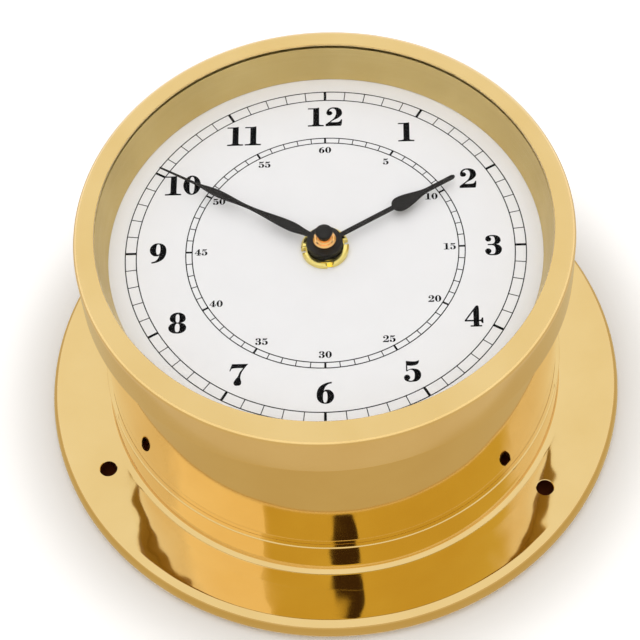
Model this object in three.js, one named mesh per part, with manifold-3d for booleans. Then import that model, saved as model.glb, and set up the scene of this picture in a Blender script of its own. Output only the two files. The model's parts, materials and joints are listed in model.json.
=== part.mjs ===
// Ship's clock: a brass drum on a round wall flange, with a battery movement behind the dial.
// Millimetres. The origin is the centre of the face that meets the wall, +Z points out of the
// wall towards the reader, +Y to twelve o'clock and +X to three o'clock.
import * as THREE from "three";
import { mergeVertices } from "three/addons/utils/BufferGeometryUtils.js";
import Module from "manifold-3d";

const wasm = await Module();
wasm.setup();

// Facets of a full circle: large rings, tubes and thin arbors
const RING_FACETS = 64;
const TUBE_FACETS = 20;
const ARBOR_FACETS = 14;

// Steps of a quarter turn: wide curves, small curves and broken edges
const CURVE_STEPS = 6;
const BEND_STEPS = 4;
const EDGE_STEPS = 2;

// Clearances
const SEAT_CLEARANCE = 0.3;
const STACK_CLEARANCE = 0.1;
const RUN_CLEARANCE = 0.3;
const PRESS_CLEARANCE = 0.2;

// How far a joined shape sinks into its neighbour, and a cutting shape runs past the faces it opens
const JOIN_OVERLAP = 0.1;
const CUT_MARGIN = 1;
const MERGE_DISTANCE = 1e-4;

// Wall flange with its collar, one turned piece
const FLANGE_R = 75;
const FLANGE_HEIGHT = 7;
const FLANGE_SHEET = 1.2;
const RIM_WIDTH = 2.5;
const RIM_WIDEST = 2.8;
const RIM_FOOT = 1.4;
const SCREW_HOLE_R = 2.2;
const SCREW_CIRCLE_R = 65.1;
const SCREW_COUNT = 3;
const SCREW_TURN = 85.8;
const COLLAR_WALL = 0.8;
const COLLAR_HEIGHT = 11.9;
const COLLAR_EDGE = 0.4;
const FILLET_R = 1.5;
const LEDGE_WIDTH = 5.8;
const LEDGE_THICKNESS = 1.6;

// Drum: barrel with an inward lip in front, and the bezel pushed over it
const BARREL_R = 57.9;
const BARREL_WALL = 1.2;
const BARREL_LENGTH = 54.5;
const BARREL_LIP = 7;
const BEZEL_WALL = 2.4;
const BEZEL_HEIGHT = 14.8;
const BEZEL_LIP_WIDTH = 2.9;
const BEZEL_LIP_THICKNESS = 1;
const BEZEL_ROUNDING = 3;
const BEZEL_INNER_EDGE = 0.7;

// Dial, reflector ring, gasket and glass, stacked between the barrel's lip and the bezel's lip
const DIAL_THICKNESS = 0.8;
const REFLECTOR_HEIGHT = 9;
const REFLECTOR_SLOPE_WIDTH = 2.2;
const REFLECTOR_WALL = 1.2;
const GASKET_THICKNESS = 0.5;
const GASKET_WIDTH = 1.7;
const GLASS_THICKNESS = 1;

// Fixing of the movement through the dial
const BUSH_R = 3.95;
const BUSH_BORE_R = 2.85;
const BUSH_PROUD = 0.1;
const NUT_R = 5.85;
const NUT_THICKNESS = 1.6;
const NUT_EDGE = 0.3;
const NUT_SLOTS = 4;
const NUT_SLOT_WIDTH = 1.3;
const NUT_SLOT_DEPTH = 1;
const NUT_TURN = 12;
const WASHER_R = 8;
const WASHER_THICKNESS = 0.8;

// Hands. Their turns are read clockwise from twelve o'clock, in degrees.
const HAND_THICKNESS = 0.4;
const HAND_EYE_R = 4.4;
const HAND_EYE_OVERLAP = 1.2;
const HOUR_TURN = 59;
const HOUR_LENGTH = 37.5;
const HOUR_SHAFT_HALF = 0.6;
const HOUR_SPADE_AT = 21.6;
const HOUR_SPADE_HALF = 2.1;
const HOUR_SPADE_REACH = 8.4;
const HOUR_TIP_HALF = 0.25;
const MINUTE_TURN = 300;
const MINUTE_LENGTH = 47.5;
const MINUTE_ROOT_HALF = 0.75;
const MINUTE_LEAF_AT = 9.5;
const MINUTE_LEAF_HALF = 1.35;
const MINUTE_WAIST_AT = 21.9;
const MINUTE_WAIST_HALF = 0.45;
const MINUTE_BULGE_AT = 30.6;
const MINUTE_BULGE_HALF = 1;
const MINUTE_NEEDLE_AT = 37.5;
const MINUTE_NEEDLE_HALF = 0.3;
const MINUTE_TIP_HALF = 0.18;
const TAPER_STEPS = 5;
const COLLET_R = 4.2;
const COLLET_HEIGHT = 0.4;
const NUT_TO_COLLET = 0.3;
const HOUR_TO_MINUTE = 0.3;
const HAND_BUSH_R = 2.8;
const HAND_BUSH_HEIGHT = 1.1;
const CAP_R = 2.15;
const CAP_HEIGHT = 3.3;
const CAP_DOME = 1.3;
const CAP_THREAD_DEPTH = 1.1;

// Hour tube and minute arbor, one inside the other
const HOUR_TUBE_R = 2.5;
const HOUR_TUBE_BORE_R = 1.8;
const MINUTE_ARBOR_R = 1.45;
const MINUTE_STUB_R = 1.2;
const MINUTE_THREAD_R = 0.87;

// Movement case
const MOVEMENT_DEPTH = 16;
const MOVEMENT_TOP_EDGE = 28;
const CASE_WALL = 1.4;
const FRONT_WALL = 1.4;
const COVER_THICKNESS = 1.3;
const BAY_WALL = 0.7;
const MIDDLE_PLATE_THICKNESS = 1;
const MIDDLE_PLATE_EDGE = 17.5;

// Battery cell of the common 14.2 by 50.5 size
const BATTERY_R = 7.1;
const BATTERY_LENGTH = 50.5;
const BATTERY_NUB_R = 2.7;
const BATTERY_NUB_LENGTH = 1.2;
const CONTACT_THICKNESS = 0.4;
const CONTACT_ROOM = 1.1;
const CONTACT_DROP = 3.5;
const CONTACT_RISE = 2.7;
const CONTACT_FOOT = 2.7;
const CONTACT_REACH = 5.4;
const CONTACT_RUN_HEIGHT = 1;

// Wheels. A module is the pitch diameter divided by the teeth.
const WHEEL_THICKNESS = 0.9;
const WHEEL_PITCH = 1.55;
const PINION_PROUD = 0.15;
const ARBOR_R = 0.6;
const ADDENDUM = 0.8;
const DEDENDUM = 1.1;
const TOOTH_ROOT_SHARE = 0.27;
const TOOTH_TIP_SHARE = 0.1;
const MOTION_MODULE = 0.6;
const CANNON_TEETH = 10;
const MOTION_TEETH = 30;
const MOTION_PINION_TEETH = 8;
const HOUR_TEETH = 32;
const SETTING_TEETH = 12;
const TRAIN_MODULE = 0.42;
const CENTRE_TEETH = 48;
const THIRD_PINION_TEETH = 6;
const THIRD_TEETH = 45;
const SECONDS_PINION_TEETH = 6;
const SECONDS_MODULE = 0.5;
const SECONDS_TEETH = 30;
const INTERMEDIATE_PINION_TEETH = 6;
const ROTOR_MODULE = 0.4;
const INTERMEDIATE_TEETH = 36;
const ROTOR_PINION_TEETH = 6;

// Directions from one arbor to the next, in degrees from three o'clock
const MOTION_DIRECTION = 10;
const THIRD_DIRECTION = 100;
const INTERMEDIATE_DIRECTION = 180;
const ROTOR_DIRECTION = 110;
const SETTING_DIRECTION = 75;

// Setting knob
const KNOB_R = 5;
const KNOB_THICKNESS = 2.6;
const KNOB_SHAFT_R = 1.2;
const KNOB_RIBS = 18;
const KNOB_RIB_DEPTH = 0.35;

// Motor and electronics
const MAGNET_R = 2.6;
const MAGNET_THICKNESS = 1.4;
const STATOR_THICKNESS = 0.9;
const STATOR_RING_R = 5.4;
const STATOR_ARM_WIDTH = 4;
const COIL_R = 2.7;
const COIL_LENGTH = 21;
const COIL_CENTRE_X = -6;
const COIL_CORE_WIDTH = 2.6;
const COIL_CORE_END = 4.5;
const BOARD_THICKNESS = 1;
const BOARD_LEFT = 3;
const BOARD_EDGE = 12;
const CRYSTAL_R = 1;
const CRYSTAL_LENGTH = 6;
const CRYSTAL_INSET = 3;
const CHIP_SIZE = 5;
const CHIP_THICKNESS = 1;
const CHIP_INSET = 5;

// Heights, worked out from the wall to the glass
const flangeUnderside = FLANGE_HEIGHT - FLANGE_SHEET;
const ledgeTop = flangeUnderside + LEDGE_THICKNESS;
const collarTop = FLANGE_HEIGHT + COLLAR_HEIGHT;
const collarInnerR = BARREL_R + SEAT_CLEARANCE;
const collarOuterR = collarInnerR + COLLAR_WALL;
const ledgeInnerR = collarInnerR - LEDGE_WIDTH;
const barrelBottom = ledgeTop + SEAT_CLEARANCE;
const barrelTop = barrelBottom + BARREL_LENGTH;
const dialBottom = barrelTop + STACK_CLEARANCE;
const dialTop = dialBottom + DIAL_THICKNESS;
const reflectorBottom = dialTop + STACK_CLEARANCE;
const reflectorTop = reflectorBottom + REFLECTOR_HEIGHT;
const gasketBottom = reflectorTop + STACK_CLEARANCE;
const gasketTop = gasketBottom + GASKET_THICKNESS;
const glassBottom = gasketTop + STACK_CLEARANCE;
const glassTop = glassBottom + GLASS_THICKNESS;
const bezelLipBottom = glassTop + STACK_CLEARANCE;
const bezelTop = bezelLipBottom + BEZEL_LIP_THICKNESS;
const bezelBottom = bezelTop - BEZEL_HEIGHT;
const bezelInnerR = BARREL_R + SEAT_CLEARANCE;
const bezelOuterR = bezelInnerR + BEZEL_WALL;
const bezelWindowR = bezelInnerR - BEZEL_LIP_WIDTH;
const stackR = bezelInnerR - SEAT_CLEARANCE;
const reflectorTopR = bezelWindowR;
const reflectorFootR = reflectorTopR - REFLECTOR_SLOPE_WIDTH;

// Heights of the movement, from its front face backwards
const washerTop = dialBottom - STACK_CLEARANCE;
const washerBottom = washerTop - WASHER_THICKNESS;
const movementFront = washerBottom - STACK_CLEARANCE;
const movementBack = movementFront - MOVEMENT_DEPTH;
const innerFront = movementFront - FRONT_WALL;
const innerBack = movementBack + COVER_THICKNESS;
const nutBottom = dialTop + STACK_CLEARANCE;
const nutTop = nutBottom + NUT_THICKNESS;
const bushTop = nutTop + BUSH_PROUD;
const levelTop = (level) => innerFront - RUN_CLEARANCE - level * WHEEL_PITCH;
const hourWheelTop = levelTop(0);
const motionWheelTop = levelTop(1);
const centreWheelTop = levelTop(2);
const thirdWheelTop = levelTop(3);
const middlePlateTop = thirdWheelTop - WHEEL_THICKNESS - RUN_CLEARANCE - PINION_PROUD;
const middlePlateBottom = middlePlateTop - MIDDLE_PLATE_THICKNESS;
const secondsWheelTop = middlePlateBottom - RUN_CLEARANCE - PINION_PROUD;
const intermediateWheelTop = secondsWheelTop - WHEEL_PITCH;
const arborBack = innerBack + RUN_CLEARANCE;

// Heights of the hands
const colletBottom = nutTop + NUT_TO_COLLET;
const hourHandBottom = colletBottom + COLLET_HEIGHT + STACK_CLEARANCE;
const hourHandTop = hourHandBottom + HAND_THICKNESS;
const minuteHandBottom = hourHandTop + HOUR_TO_MINUTE;
const minuteHandTop = minuteHandBottom + HAND_THICKNESS;
const handBushBottom = minuteHandTop + STACK_CLEARANCE;
const handBushTop = handBushBottom + HAND_BUSH_HEIGHT;
const capBottom = handBushTop + STACK_CLEARANCE;

// Places of the arbors in the plan of the movement
const degrees = (angle) => (angle * Math.PI) / 180;
const polar = (r, angle) => new THREE.Vector2(r * Math.cos(angle), r * Math.sin(angle));
const stepFrom = (place, r, direction) => place.clone().add(polar(r, degrees(direction)));
const pitchRadius = (teeth, module) => (teeth * module) / 2;
const handsAt = new THREE.Vector2(0, 0);
const motionReach = pitchRadius(CANNON_TEETH + MOTION_TEETH, MOTION_MODULE);
const hourModule = (2 * motionReach) / (HOUR_TEETH + MOTION_PINION_TEETH);
const motionAt = stepFrom(handsAt, motionReach, MOTION_DIRECTION);
const settingReach = pitchRadius(MOTION_TEETH + SETTING_TEETH, MOTION_MODULE);
const settingAt = stepFrom(motionAt, settingReach, SETTING_DIRECTION);
const thirdReach = pitchRadius(CENTRE_TEETH + THIRD_PINION_TEETH, TRAIN_MODULE);
const thirdModule = (2 * thirdReach) / (THIRD_TEETH + SECONDS_PINION_TEETH);
const thirdAt = stepFrom(handsAt, thirdReach, THIRD_DIRECTION);
const intermediateReach = pitchRadius(SECONDS_TEETH + INTERMEDIATE_PINION_TEETH, SECONDS_MODULE);
const intermediateAt = stepFrom(handsAt, intermediateReach, INTERMEDIATE_DIRECTION);
const rotorReach = pitchRadius(INTERMEDIATE_TEETH + ROTOR_PINION_TEETH, ROTOR_MODULE);
const rotorAt = stepFrom(intermediateAt, rotorReach, ROTOR_DIRECTION);

// Plan of the movement case, built round the wheels, the battery and the coil
const tipRadius = (teeth, module) => pitchRadius(teeth, module) + ADDENDUM * module;
const largestWheelR = Math.max(tipRadius(HOUR_TEETH, hourModule), tipRadius(CENTRE_TEETH, TRAIN_MODULE));
const bayWallTop = -(largestWheelR + RUN_CLEARANCE);
const bayTop = bayWallTop - BAY_WALL;
const batteryY = bayTop - RUN_CLEARANCE - BATTERY_R;
const caseInnerBottom = batteryY - BATTERY_R - RUN_CLEARANCE;
const caseInnerTop = MOVEMENT_TOP_EDGE - CASE_WALL;
const caseInnerHalf = BATTERY_LENGTH / 2 + CONTACT_ROOM;
const batteryZ = movementBack + BATTERY_R + STACK_CLEARANCE;
const contactX = caseInnerHalf - RUN_CLEARANCE - CONTACT_THICKNESS;

// Solids: closed shapes that are joined and cut
function toSolid(geometry) {
  const bare = new THREE.BufferGeometry();
  bare.setAttribute("position", geometry.getAttribute("position").clone());
  bare.setIndex(geometry.getIndex() ? geometry.getIndex().clone() : null);
  const merged = mergeVertices(bare, MERGE_DISTANCE);
  const points = merged.getAttribute("position").array;
  const corners = merged.getIndex().array;
  const kept = [];
  let volume = 0;
  const [a, b, c] = [new THREE.Vector3(), new THREE.Vector3(), new THREE.Vector3()];
  for (let i = 0; i < corners.length; i += 3) {
    const [p, q, r] = [corners[i], corners[i + 1], corners[i + 2]];
    if (p === q || q === r || r === p) continue;
    kept.push(p, q, r);
    a.fromArray(points, 3 * p);
    b.fromArray(points, 3 * q);
    c.fromArray(points, 3 * r);
    volume += a.dot(b.cross(c));
  }
  if (volume < 0) kept.reverse();
  const mesh = new wasm.Mesh({
    numProp: 3,
    vertProperties: new Float32Array(points),
    triVerts: new Uint32Array(kept),
  });
  return new wasm.Manifold(mesh);
}

function toGeometry(solid) {
  const mesh = solid.getMesh();
  const geometry = new THREE.BufferGeometry();
  geometry.setAttribute("position", new THREE.BufferAttribute(mesh.vertProperties, 3));
  geometry.setIndex(new THREE.BufferAttribute(mesh.triVerts, 1));
  return geometry;
}

const join = (...solids) => solids.reduce((whole, solid) => whole.add(solid));
const cut = (solid, ...tools) => tools.reduce((rest, tool) => rest.subtract(tool), solid);

// A ring or disc turned about Z from a closed outline of [radius, height] points
function turned(outline, facets = RING_FACETS) {
  const points = outline.map(([r, z]) => new THREE.Vector2(r, z));
  points.push(points[0].clone());
  return toSolid(new THREE.LatheGeometry(points, facets).rotateX(Math.PI / 2));
}

function tube(outerR, innerR, bottom, top, facets = RING_FACETS) {
  return turned([[innerR, bottom], [outerR, bottom], [outerR, top], [innerR, top]], facets);
}

function rod(r, bottom, top, at = handsAt, facets = ARBOR_FACETS) {
  const geometry = new THREE.CylinderGeometry(r, r, top - bottom, facets).rotateX(Math.PI / 2);
  return toSolid(geometry.translate(at.x, at.y, (bottom + top) / 2));
}

function block(x0, x1, y0, y1, z0, z1) {
  const geometry = new THREE.BoxGeometry(x1 - x0, y1 - y0, z1 - z0);
  return toSolid(geometry.translate((x0 + x1) / 2, (y0 + y1) / 2, (z0 + z1) / 2));
}

function slab(points, bottom, top) {
  const depth = top - bottom;
  const geometry = new THREE.ExtrudeGeometry(new THREE.Shape(points), { depth, bevelEnabled: false });
  return toSolid(geometry.translate(0, 0, bottom));
}

// Points of a quarter ellipse between two angles, for roundings and fillets
function arc(centreR, centreZ, radiusR, radiusZ, from, to, steps) {
  const at = (i) => degrees(from + ((to - from) * i) / steps);
  const point = (i) => [centreR + radiusR * Math.cos(at(i)), centreZ + radiusZ * Math.sin(at(i))];
  return Array.from({ length: steps + 1 }, (_, i) => point(i));
}

// Toothed wheel with straight-flanked teeth; phase is where its first tooth points
function gear(teeth, module, bottom, top, at, phase = 0) {
  const pitch = (2 * Math.PI) / teeth;
  const tip = tipRadius(teeth, module);
  const root = pitchRadius(teeth, module) - DEDENDUM * module;
  const corners = [
    [root, -TOOTH_ROOT_SHARE],
    [tip, -TOOTH_TIP_SHARE],
    [tip, TOOTH_TIP_SHARE],
    [root, TOOTH_ROOT_SHARE],
  ];
  const points = [];
  for (let i = 0; i < teeth; i++) {
    for (const [r, share] of corners) points.push(polar(r, phase + (i + share) * pitch).add(at));
  }
  return slab(points, bottom, top);
}

// Phase that sets a gap of the driven wheel over the driver's tooth
function meshPhase(driverTeeth, driverPhase, driverAt, drivenTeeth, drivenAt) {
  const line = drivenAt.clone().sub(driverAt).angle();
  const toothShare = ((line - driverPhase) * driverTeeth) / (2 * Math.PI);
  return line + Math.PI - ((0.5 - toothShare) * 2 * Math.PI) / drivenTeeth;
}

// Finishes
const finish = (color, roughness, metalness, more = {}) =>
  new THREE.MeshStandardMaterial({ color, roughness, metalness, ...more });
const looks = {
  polishedBrass: () => finish(0xd9ae58, 0.12, 1),
  matteBrass: () => finish(0xb9a06c, 0.5, 1),
  brightBrass: () => finish(0xd8bf62, 0.25, 1),
  glass: () => finish(0xffffff, 0.02, 0, { transparent: true, opacity: 0.15 }),
  blackRubber: () => finish(0x1c1b1a, 0.8, 0),
  whiteEnamel: () => finish(0xf0f0f0, 0.45, 0),
  blackEnamel: () => finish(0x34322d, 0.45, 0),
  blackPlastic: () => finish(0x232427, 0.5, 0),
  whitePlastic: () => finish(0xe6e4da, 0.45, 0),
  steel: () => finish(0xb8bbbe, 0.35, 1),
  copper: () => finish(0xb8683a, 0.4, 1),
  greenBoard: () => finish(0x2f6b45, 0.5, 0),
  ferrite: () => finish(0x3a3a3c, 0.6, 0.2),
  batteryJacket: () => finish(0x3d6d8f, 0.4, 0.3),
};

const clock = new THREE.Group();
const base = new THREE.Group();
const drum = new THREE.Group();
const movement = new THREE.Group();
const hands = new THREE.Group();
clock.add(base, drum, movement, hands);

function addPiece(parent, name, solid, look) {
  const mesh = new THREE.Mesh(toGeometry(solid), looks[look]());
  mesh.name = name;
  parent.add(mesh);
}

// Wall flange: rim rolled in to a foot, flat face, small fillet, collar, and the ledge that carries the barrel
function baseFlange() {
  const rimStart = FLANGE_R - RIM_WIDTH;
  const footInner = rimStart - RIM_FOOT;
  const innerWidth = RIM_WIDTH - FLANGE_SHEET;
  const filletR = collarOuterR + FILLET_R;
  const filletTop = FLANGE_HEIGHT + FILLET_R;
  const body = turned([
    [footInner, 0],
    ...arc(rimStart, RIM_WIDEST, RIM_WIDTH, RIM_WIDEST, 270, 360, BEND_STEPS).slice(0, -1),
    ...arc(rimStart, RIM_WIDEST, RIM_WIDTH, FLANGE_HEIGHT - RIM_WIDEST, 0, 90, CURVE_STEPS),
    ...arc(filletR, filletTop, FILLET_R, FILLET_R, 270, 180, BEND_STEPS),
    ...arc(collarOuterR - COLLAR_EDGE, collarTop - COLLAR_EDGE, COLLAR_EDGE, COLLAR_EDGE, 0, 90, EDGE_STEPS),
    [collarInnerR, collarTop],
    [collarInnerR, ledgeTop],
    [ledgeInnerR, ledgeTop],
    [ledgeInnerR, flangeUnderside],
    ...arc(rimStart, RIM_WIDEST, innerWidth, flangeUnderside - RIM_WIDEST, 90, 0, BEND_STEPS).slice(0, -1),
    ...arc(rimStart, RIM_WIDEST, innerWidth, RIM_WIDEST - FLANGE_SHEET, 360, 270, EDGE_STEPS),
    [footInner, FLANGE_SHEET],
  ]);
  const holes = Array.from({ length: SCREW_COUNT }, (_, i) => {
    const at = polar(SCREW_CIRCLE_R, degrees(SCREW_TURN + (360 * i) / SCREW_COUNT));
    return rod(SCREW_HOLE_R, -CUT_MARGIN, FLANGE_HEIGHT + CUT_MARGIN, at, TUBE_FACETS);
  });
  return cut(body, ...holes);
}

// Barrel: a tube whose front edge turns inward to carry the dial
function barrel() {
  const innerR = BARREL_R - BARREL_WALL;
  const lipR = BARREL_R - BARREL_LIP;
  return turned([
    [innerR, barrelBottom],
    [BARREL_R, barrelBottom],
    [BARREL_R, barrelTop],
    [lipR, barrelTop],
    [lipR, barrelTop - BARREL_WALL],
    [innerR, barrelTop - BARREL_WALL],
  ]);
}

// Bezel: a heavy ring with a rounded shoulder and an inward lip over the glass
function bezelRing() {
  const shoulderR = bezelOuterR - BEZEL_ROUNDING;
  const shoulderZ = bezelTop - BEZEL_ROUNDING;
  const edgeR = bezelWindowR + BEZEL_INNER_EDGE;
  const edgeZ = bezelTop - BEZEL_INNER_EDGE;
  return turned([
    [bezelInnerR, bezelBottom],
    [bezelOuterR, bezelBottom],
    ...arc(shoulderR, shoulderZ, BEZEL_ROUNDING, BEZEL_ROUNDING, 0, 90, CURVE_STEPS),
    ...arc(edgeR, edgeZ, BEZEL_INNER_EDGE, BEZEL_INNER_EDGE, 90, 180, EDGE_STEPS),
    [bezelWindowR, bezelLipBottom],
    [bezelInnerR, bezelLipBottom],
  ]);
}

// Reflector ring: a thin cone between the dial's edge and the glass, with a turned-out top edge
function reflectorRing() {
  return turned([
    [reflectorFootR, reflectorBottom],
    [reflectorFootR + REFLECTOR_WALL, reflectorBottom],
    [reflectorTopR + REFLECTOR_WALL, reflectorTop],
    [reflectorTopR, reflectorTop],
  ]);
}

function fixingNut() {
  const body = turned([
    [BUSH_R + PRESS_CLEARANCE, nutBottom],
    [NUT_R, nutBottom],
    [NUT_R, nutTop - NUT_EDGE],
    [NUT_R - NUT_EDGE, nutTop],
    [BUSH_R + PRESS_CLEARANCE, nutTop],
  ], TUBE_FACETS);
  const half = NUT_SLOT_WIDTH / 2;
  const slots = Array.from({ length: NUT_SLOTS }, (_, i) => {
    const notch = block(
      NUT_R - NUT_SLOT_DEPTH, NUT_R + CUT_MARGIN, -half, half, nutBottom - CUT_MARGIN, nutTop + CUT_MARGIN,
    );
    return notch.rotate([0, 0, NUT_TURN + (360 * i) / NUT_SLOTS]);
  });
  return cut(body, ...slots);
}

// Hands, drawn along +Y from their eye and then turned clockwise
function handPlate(halves, boreR, bottom, turn) {
  const right = halves.map(([along, half]) => new THREE.Vector2(half, along));
  const left = halves.map(([along, half]) => new THREE.Vector2(-half, along)).reverse();
  const top = bottom + HAND_THICKNESS;
  const blade = slab([...right, ...left], bottom, top);
  const eye = rod(HAND_EYE_R, bottom, top, handsAt, TUBE_FACETS);
  const bore = rod(boreR, bottom - CUT_MARGIN, top + CUT_MARGIN, handsAt, TUBE_FACETS);
  return cut(join(blade, eye), bore).rotate([0, 0, -turn]);
}

// Half widths that swell or shrink between two places along a hand, as a half wave does
function taper(fromAt, fromHalf, toAt, toHalf) {
  return Array.from({ length: TAPER_STEPS }, (_, i) => {
    const share = (i + 1) / TAPER_STEPS;
    const fall = (1 - Math.cos(Math.PI * share)) / 2;
    return [fromAt + (toAt - fromAt) * share, fromHalf + (toHalf - fromHalf) * fall];
  });
}

// Straight shaft, a round-backed spade that tapers forward, and a blunt tip
function hourHand() {
  const backAngle = 180 - THREE.MathUtils.radToDeg(Math.asin(HOUR_SHAFT_HALF / HOUR_SPADE_HALF));
  const spadeEnd = HOUR_SPADE_AT + HOUR_SPADE_REACH;
  const halves = [
    [HAND_EYE_R - HAND_EYE_OVERLAP, HOUR_SHAFT_HALF],
    ...arc(HOUR_SPADE_AT, 0, HOUR_SPADE_HALF, HOUR_SPADE_HALF, backAngle, 90, TAPER_STEPS),
    ...taper(HOUR_SPADE_AT, HOUR_SPADE_HALF, spadeEnd, HOUR_SHAFT_HALF),
    [HOUR_LENGTH - HOUR_SHAFT_HALF, HOUR_SHAFT_HALF],
    [HOUR_LENGTH, HOUR_TIP_HALF],
  ];
  return handPlate(halves, HOUR_TUBE_R + PRESS_CLEARANCE, hourHandBottom, HOUR_TURN);
}

// A leaf at the root, a waist, a second bulge and a long needle
function minuteHand() {
  const halves = [
    [HAND_EYE_R - HAND_EYE_OVERLAP, MINUTE_ROOT_HALF],
    [HAND_EYE_R, MINUTE_ROOT_HALF],
    ...taper(HAND_EYE_R, MINUTE_ROOT_HALF, MINUTE_LEAF_AT, MINUTE_LEAF_HALF),
    ...taper(MINUTE_LEAF_AT, MINUTE_LEAF_HALF, MINUTE_WAIST_AT, MINUTE_WAIST_HALF),
    ...taper(MINUTE_WAIST_AT, MINUTE_WAIST_HALF, MINUTE_BULGE_AT, MINUTE_BULGE_HALF),
    ...taper(MINUTE_BULGE_AT, MINUTE_BULGE_HALF, MINUTE_NEEDLE_AT, MINUTE_NEEDLE_HALF),
    [MINUTE_LENGTH, MINUTE_TIP_HALF],
  ];
  return handPlate(halves, MINUTE_ARBOR_R + PRESS_CLEARANCE, minuteHandBottom, MINUTE_TURN);
}

// Domed cap, screwed on the thin threaded end of the minute arbor
function handCap() {
  const capTop = capBottom + CAP_HEIGHT;
  const dome = turned([
    [0, capBottom],
    [CAP_R, capBottom],
    ...arc(0, capTop - CAP_DOME, CAP_R, CAP_DOME, 0, 90, TAPER_STEPS).slice(0, -1),
    [0, capTop],
  ], TUBE_FACETS);
  const holeR = MINUTE_THREAD_R + PRESS_CLEARANCE;
  return cut(dome, rod(holeR, capBottom - CUT_MARGIN, capBottom + CAP_THREAD_DEPTH));
}

// Phases of the toothed wheels. The motion pinion may stand at any phase on its wheel.
const motionPinionPhase = 0;
const motionPhase = meshPhase(CANNON_TEETH, degrees(MOTION_DIRECTION), handsAt, MOTION_TEETH, motionAt);
const thirdPinionPhase = degrees(THIRD_DIRECTION + 180);
const secondsPinionPhase = degrees(THIRD_DIRECTION);
const intermediatePinionPhase = degrees(INTERMEDIATE_DIRECTION + 180);
const rotorPinionPhase = degrees(ROTOR_DIRECTION + 180);

function minuteArbor() {
  const cannonTop = motionWheelTop + PINION_PROUD;
  const cannonBottom = motionWheelTop - WHEEL_THICKNESS - PINION_PROUD;
  const stubBottom = centreWheelTop - WHEEL_THICKNESS;
  const threadTop = capBottom + CAP_THREAD_DEPTH - PRESS_CLEARANCE;
  return join(
    gear(CANNON_TEETH, MOTION_MODULE, cannonBottom, cannonTop, handsAt, degrees(MOTION_DIRECTION)),
    rod(MINUTE_ARBOR_R, cannonTop - JOIN_OVERLAP, handBushTop),
    rod(MINUTE_STUB_R, stubBottom, cannonBottom + JOIN_OVERLAP),
    rod(MINUTE_THREAD_R, handBushTop - JOIN_OVERLAP, threadTop),
  );
}

function hourWheel() {
  const bottom = hourWheelTop - WHEEL_THICKNESS;
  const phase = meshPhase(MOTION_PINION_TEETH, motionPinionPhase, motionAt, HOUR_TEETH, handsAt);
  const tubeTop = hourHandTop + STACK_CLEARANCE;
  return cut(
    join(
      gear(HOUR_TEETH, hourModule, bottom, hourWheelTop, handsAt, phase),
      rod(HOUR_TUBE_R, bottom, tubeTop, handsAt, TUBE_FACETS),
    ),
    rod(HOUR_TUBE_BORE_R, bottom - CUT_MARGIN, tubeTop + CUT_MARGIN, handsAt, TUBE_FACETS),
  );
}

function motionWheel() {
  const wheelBottom = motionWheelTop - WHEEL_THICKNESS;
  return join(
    gear(MOTION_TEETH, MOTION_MODULE, wheelBottom, motionWheelTop, motionAt, motionPhase),
    gear(MOTION_PINION_TEETH, hourModule, wheelBottom, hourWheelTop, motionAt, motionPinionPhase),
    rod(ARBOR_R, middlePlateTop + RUN_CLEARANCE, innerFront - RUN_CLEARANCE / 2, motionAt),
  );
}

function centreWheel() {
  const bottom = centreWheelTop - WHEEL_THICKNESS;
  const phase = meshPhase(THIRD_PINION_TEETH, thirdPinionPhase, thirdAt, CENTRE_TEETH, handsAt);
  return cut(
    gear(CENTRE_TEETH, TRAIN_MODULE, bottom, centreWheelTop, handsAt, phase),
    rod(MINUTE_STUB_R + PRESS_CLEARANCE, bottom - CUT_MARGIN, centreWheelTop + CUT_MARGIN),
  );
}

function thirdWheel() {
  const bottom = thirdWheelTop - WHEEL_THICKNESS;
  const phase = meshPhase(SECONDS_PINION_TEETH, secondsPinionPhase, handsAt, THIRD_TEETH, thirdAt);
  return join(
    gear(THIRD_TEETH, thirdModule, bottom, thirdWheelTop, thirdAt, phase),
    gear(THIRD_PINION_TEETH, TRAIN_MODULE, bottom, centreWheelTop + PINION_PROUD, thirdAt, thirdPinionPhase),
    rod(ARBOR_R, middlePlateTop + RUN_CLEARANCE, innerFront - RUN_CLEARANCE / 2, thirdAt),
  );
}

function secondsWheel() {
  const bottom = secondsWheelTop - WHEEL_THICKNESS;
  const pinionTop = thirdWheelTop + PINION_PROUD;
  const pinionBottom = thirdWheelTop - WHEEL_THICKNESS - PINION_PROUD;
  const phase = meshPhase(
    INTERMEDIATE_PINION_TEETH, intermediatePinionPhase, intermediateAt, SECONDS_TEETH, handsAt,
  );
  return join(
    gear(SECONDS_TEETH, SECONDS_MODULE, bottom, secondsWheelTop, handsAt, phase),
    gear(SECONDS_PINION_TEETH, thirdModule, pinionBottom, pinionTop, handsAt, secondsPinionPhase),
    rod(ARBOR_R, arborBack, pinionTop),
  );
}

function intermediateWheel() {
  const bottom = intermediateWheelTop - WHEEL_THICKNESS;
  const pinionTop = secondsWheelTop + PINION_PROUD;
  const phase = meshPhase(ROTOR_PINION_TEETH, rotorPinionPhase, rotorAt, INTERMEDIATE_TEETH, intermediateAt);
  return join(
    gear(INTERMEDIATE_TEETH, ROTOR_MODULE, bottom, intermediateWheelTop, intermediateAt, phase),
    gear(
      INTERMEDIATE_PINION_TEETH, SECONDS_MODULE, bottom, pinionTop, intermediateAt, intermediatePinionPhase,
    ),
    rod(ARBOR_R, arborBack, middlePlateBottom - RUN_CLEARANCE / 2, intermediateAt),
  );
}

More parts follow.
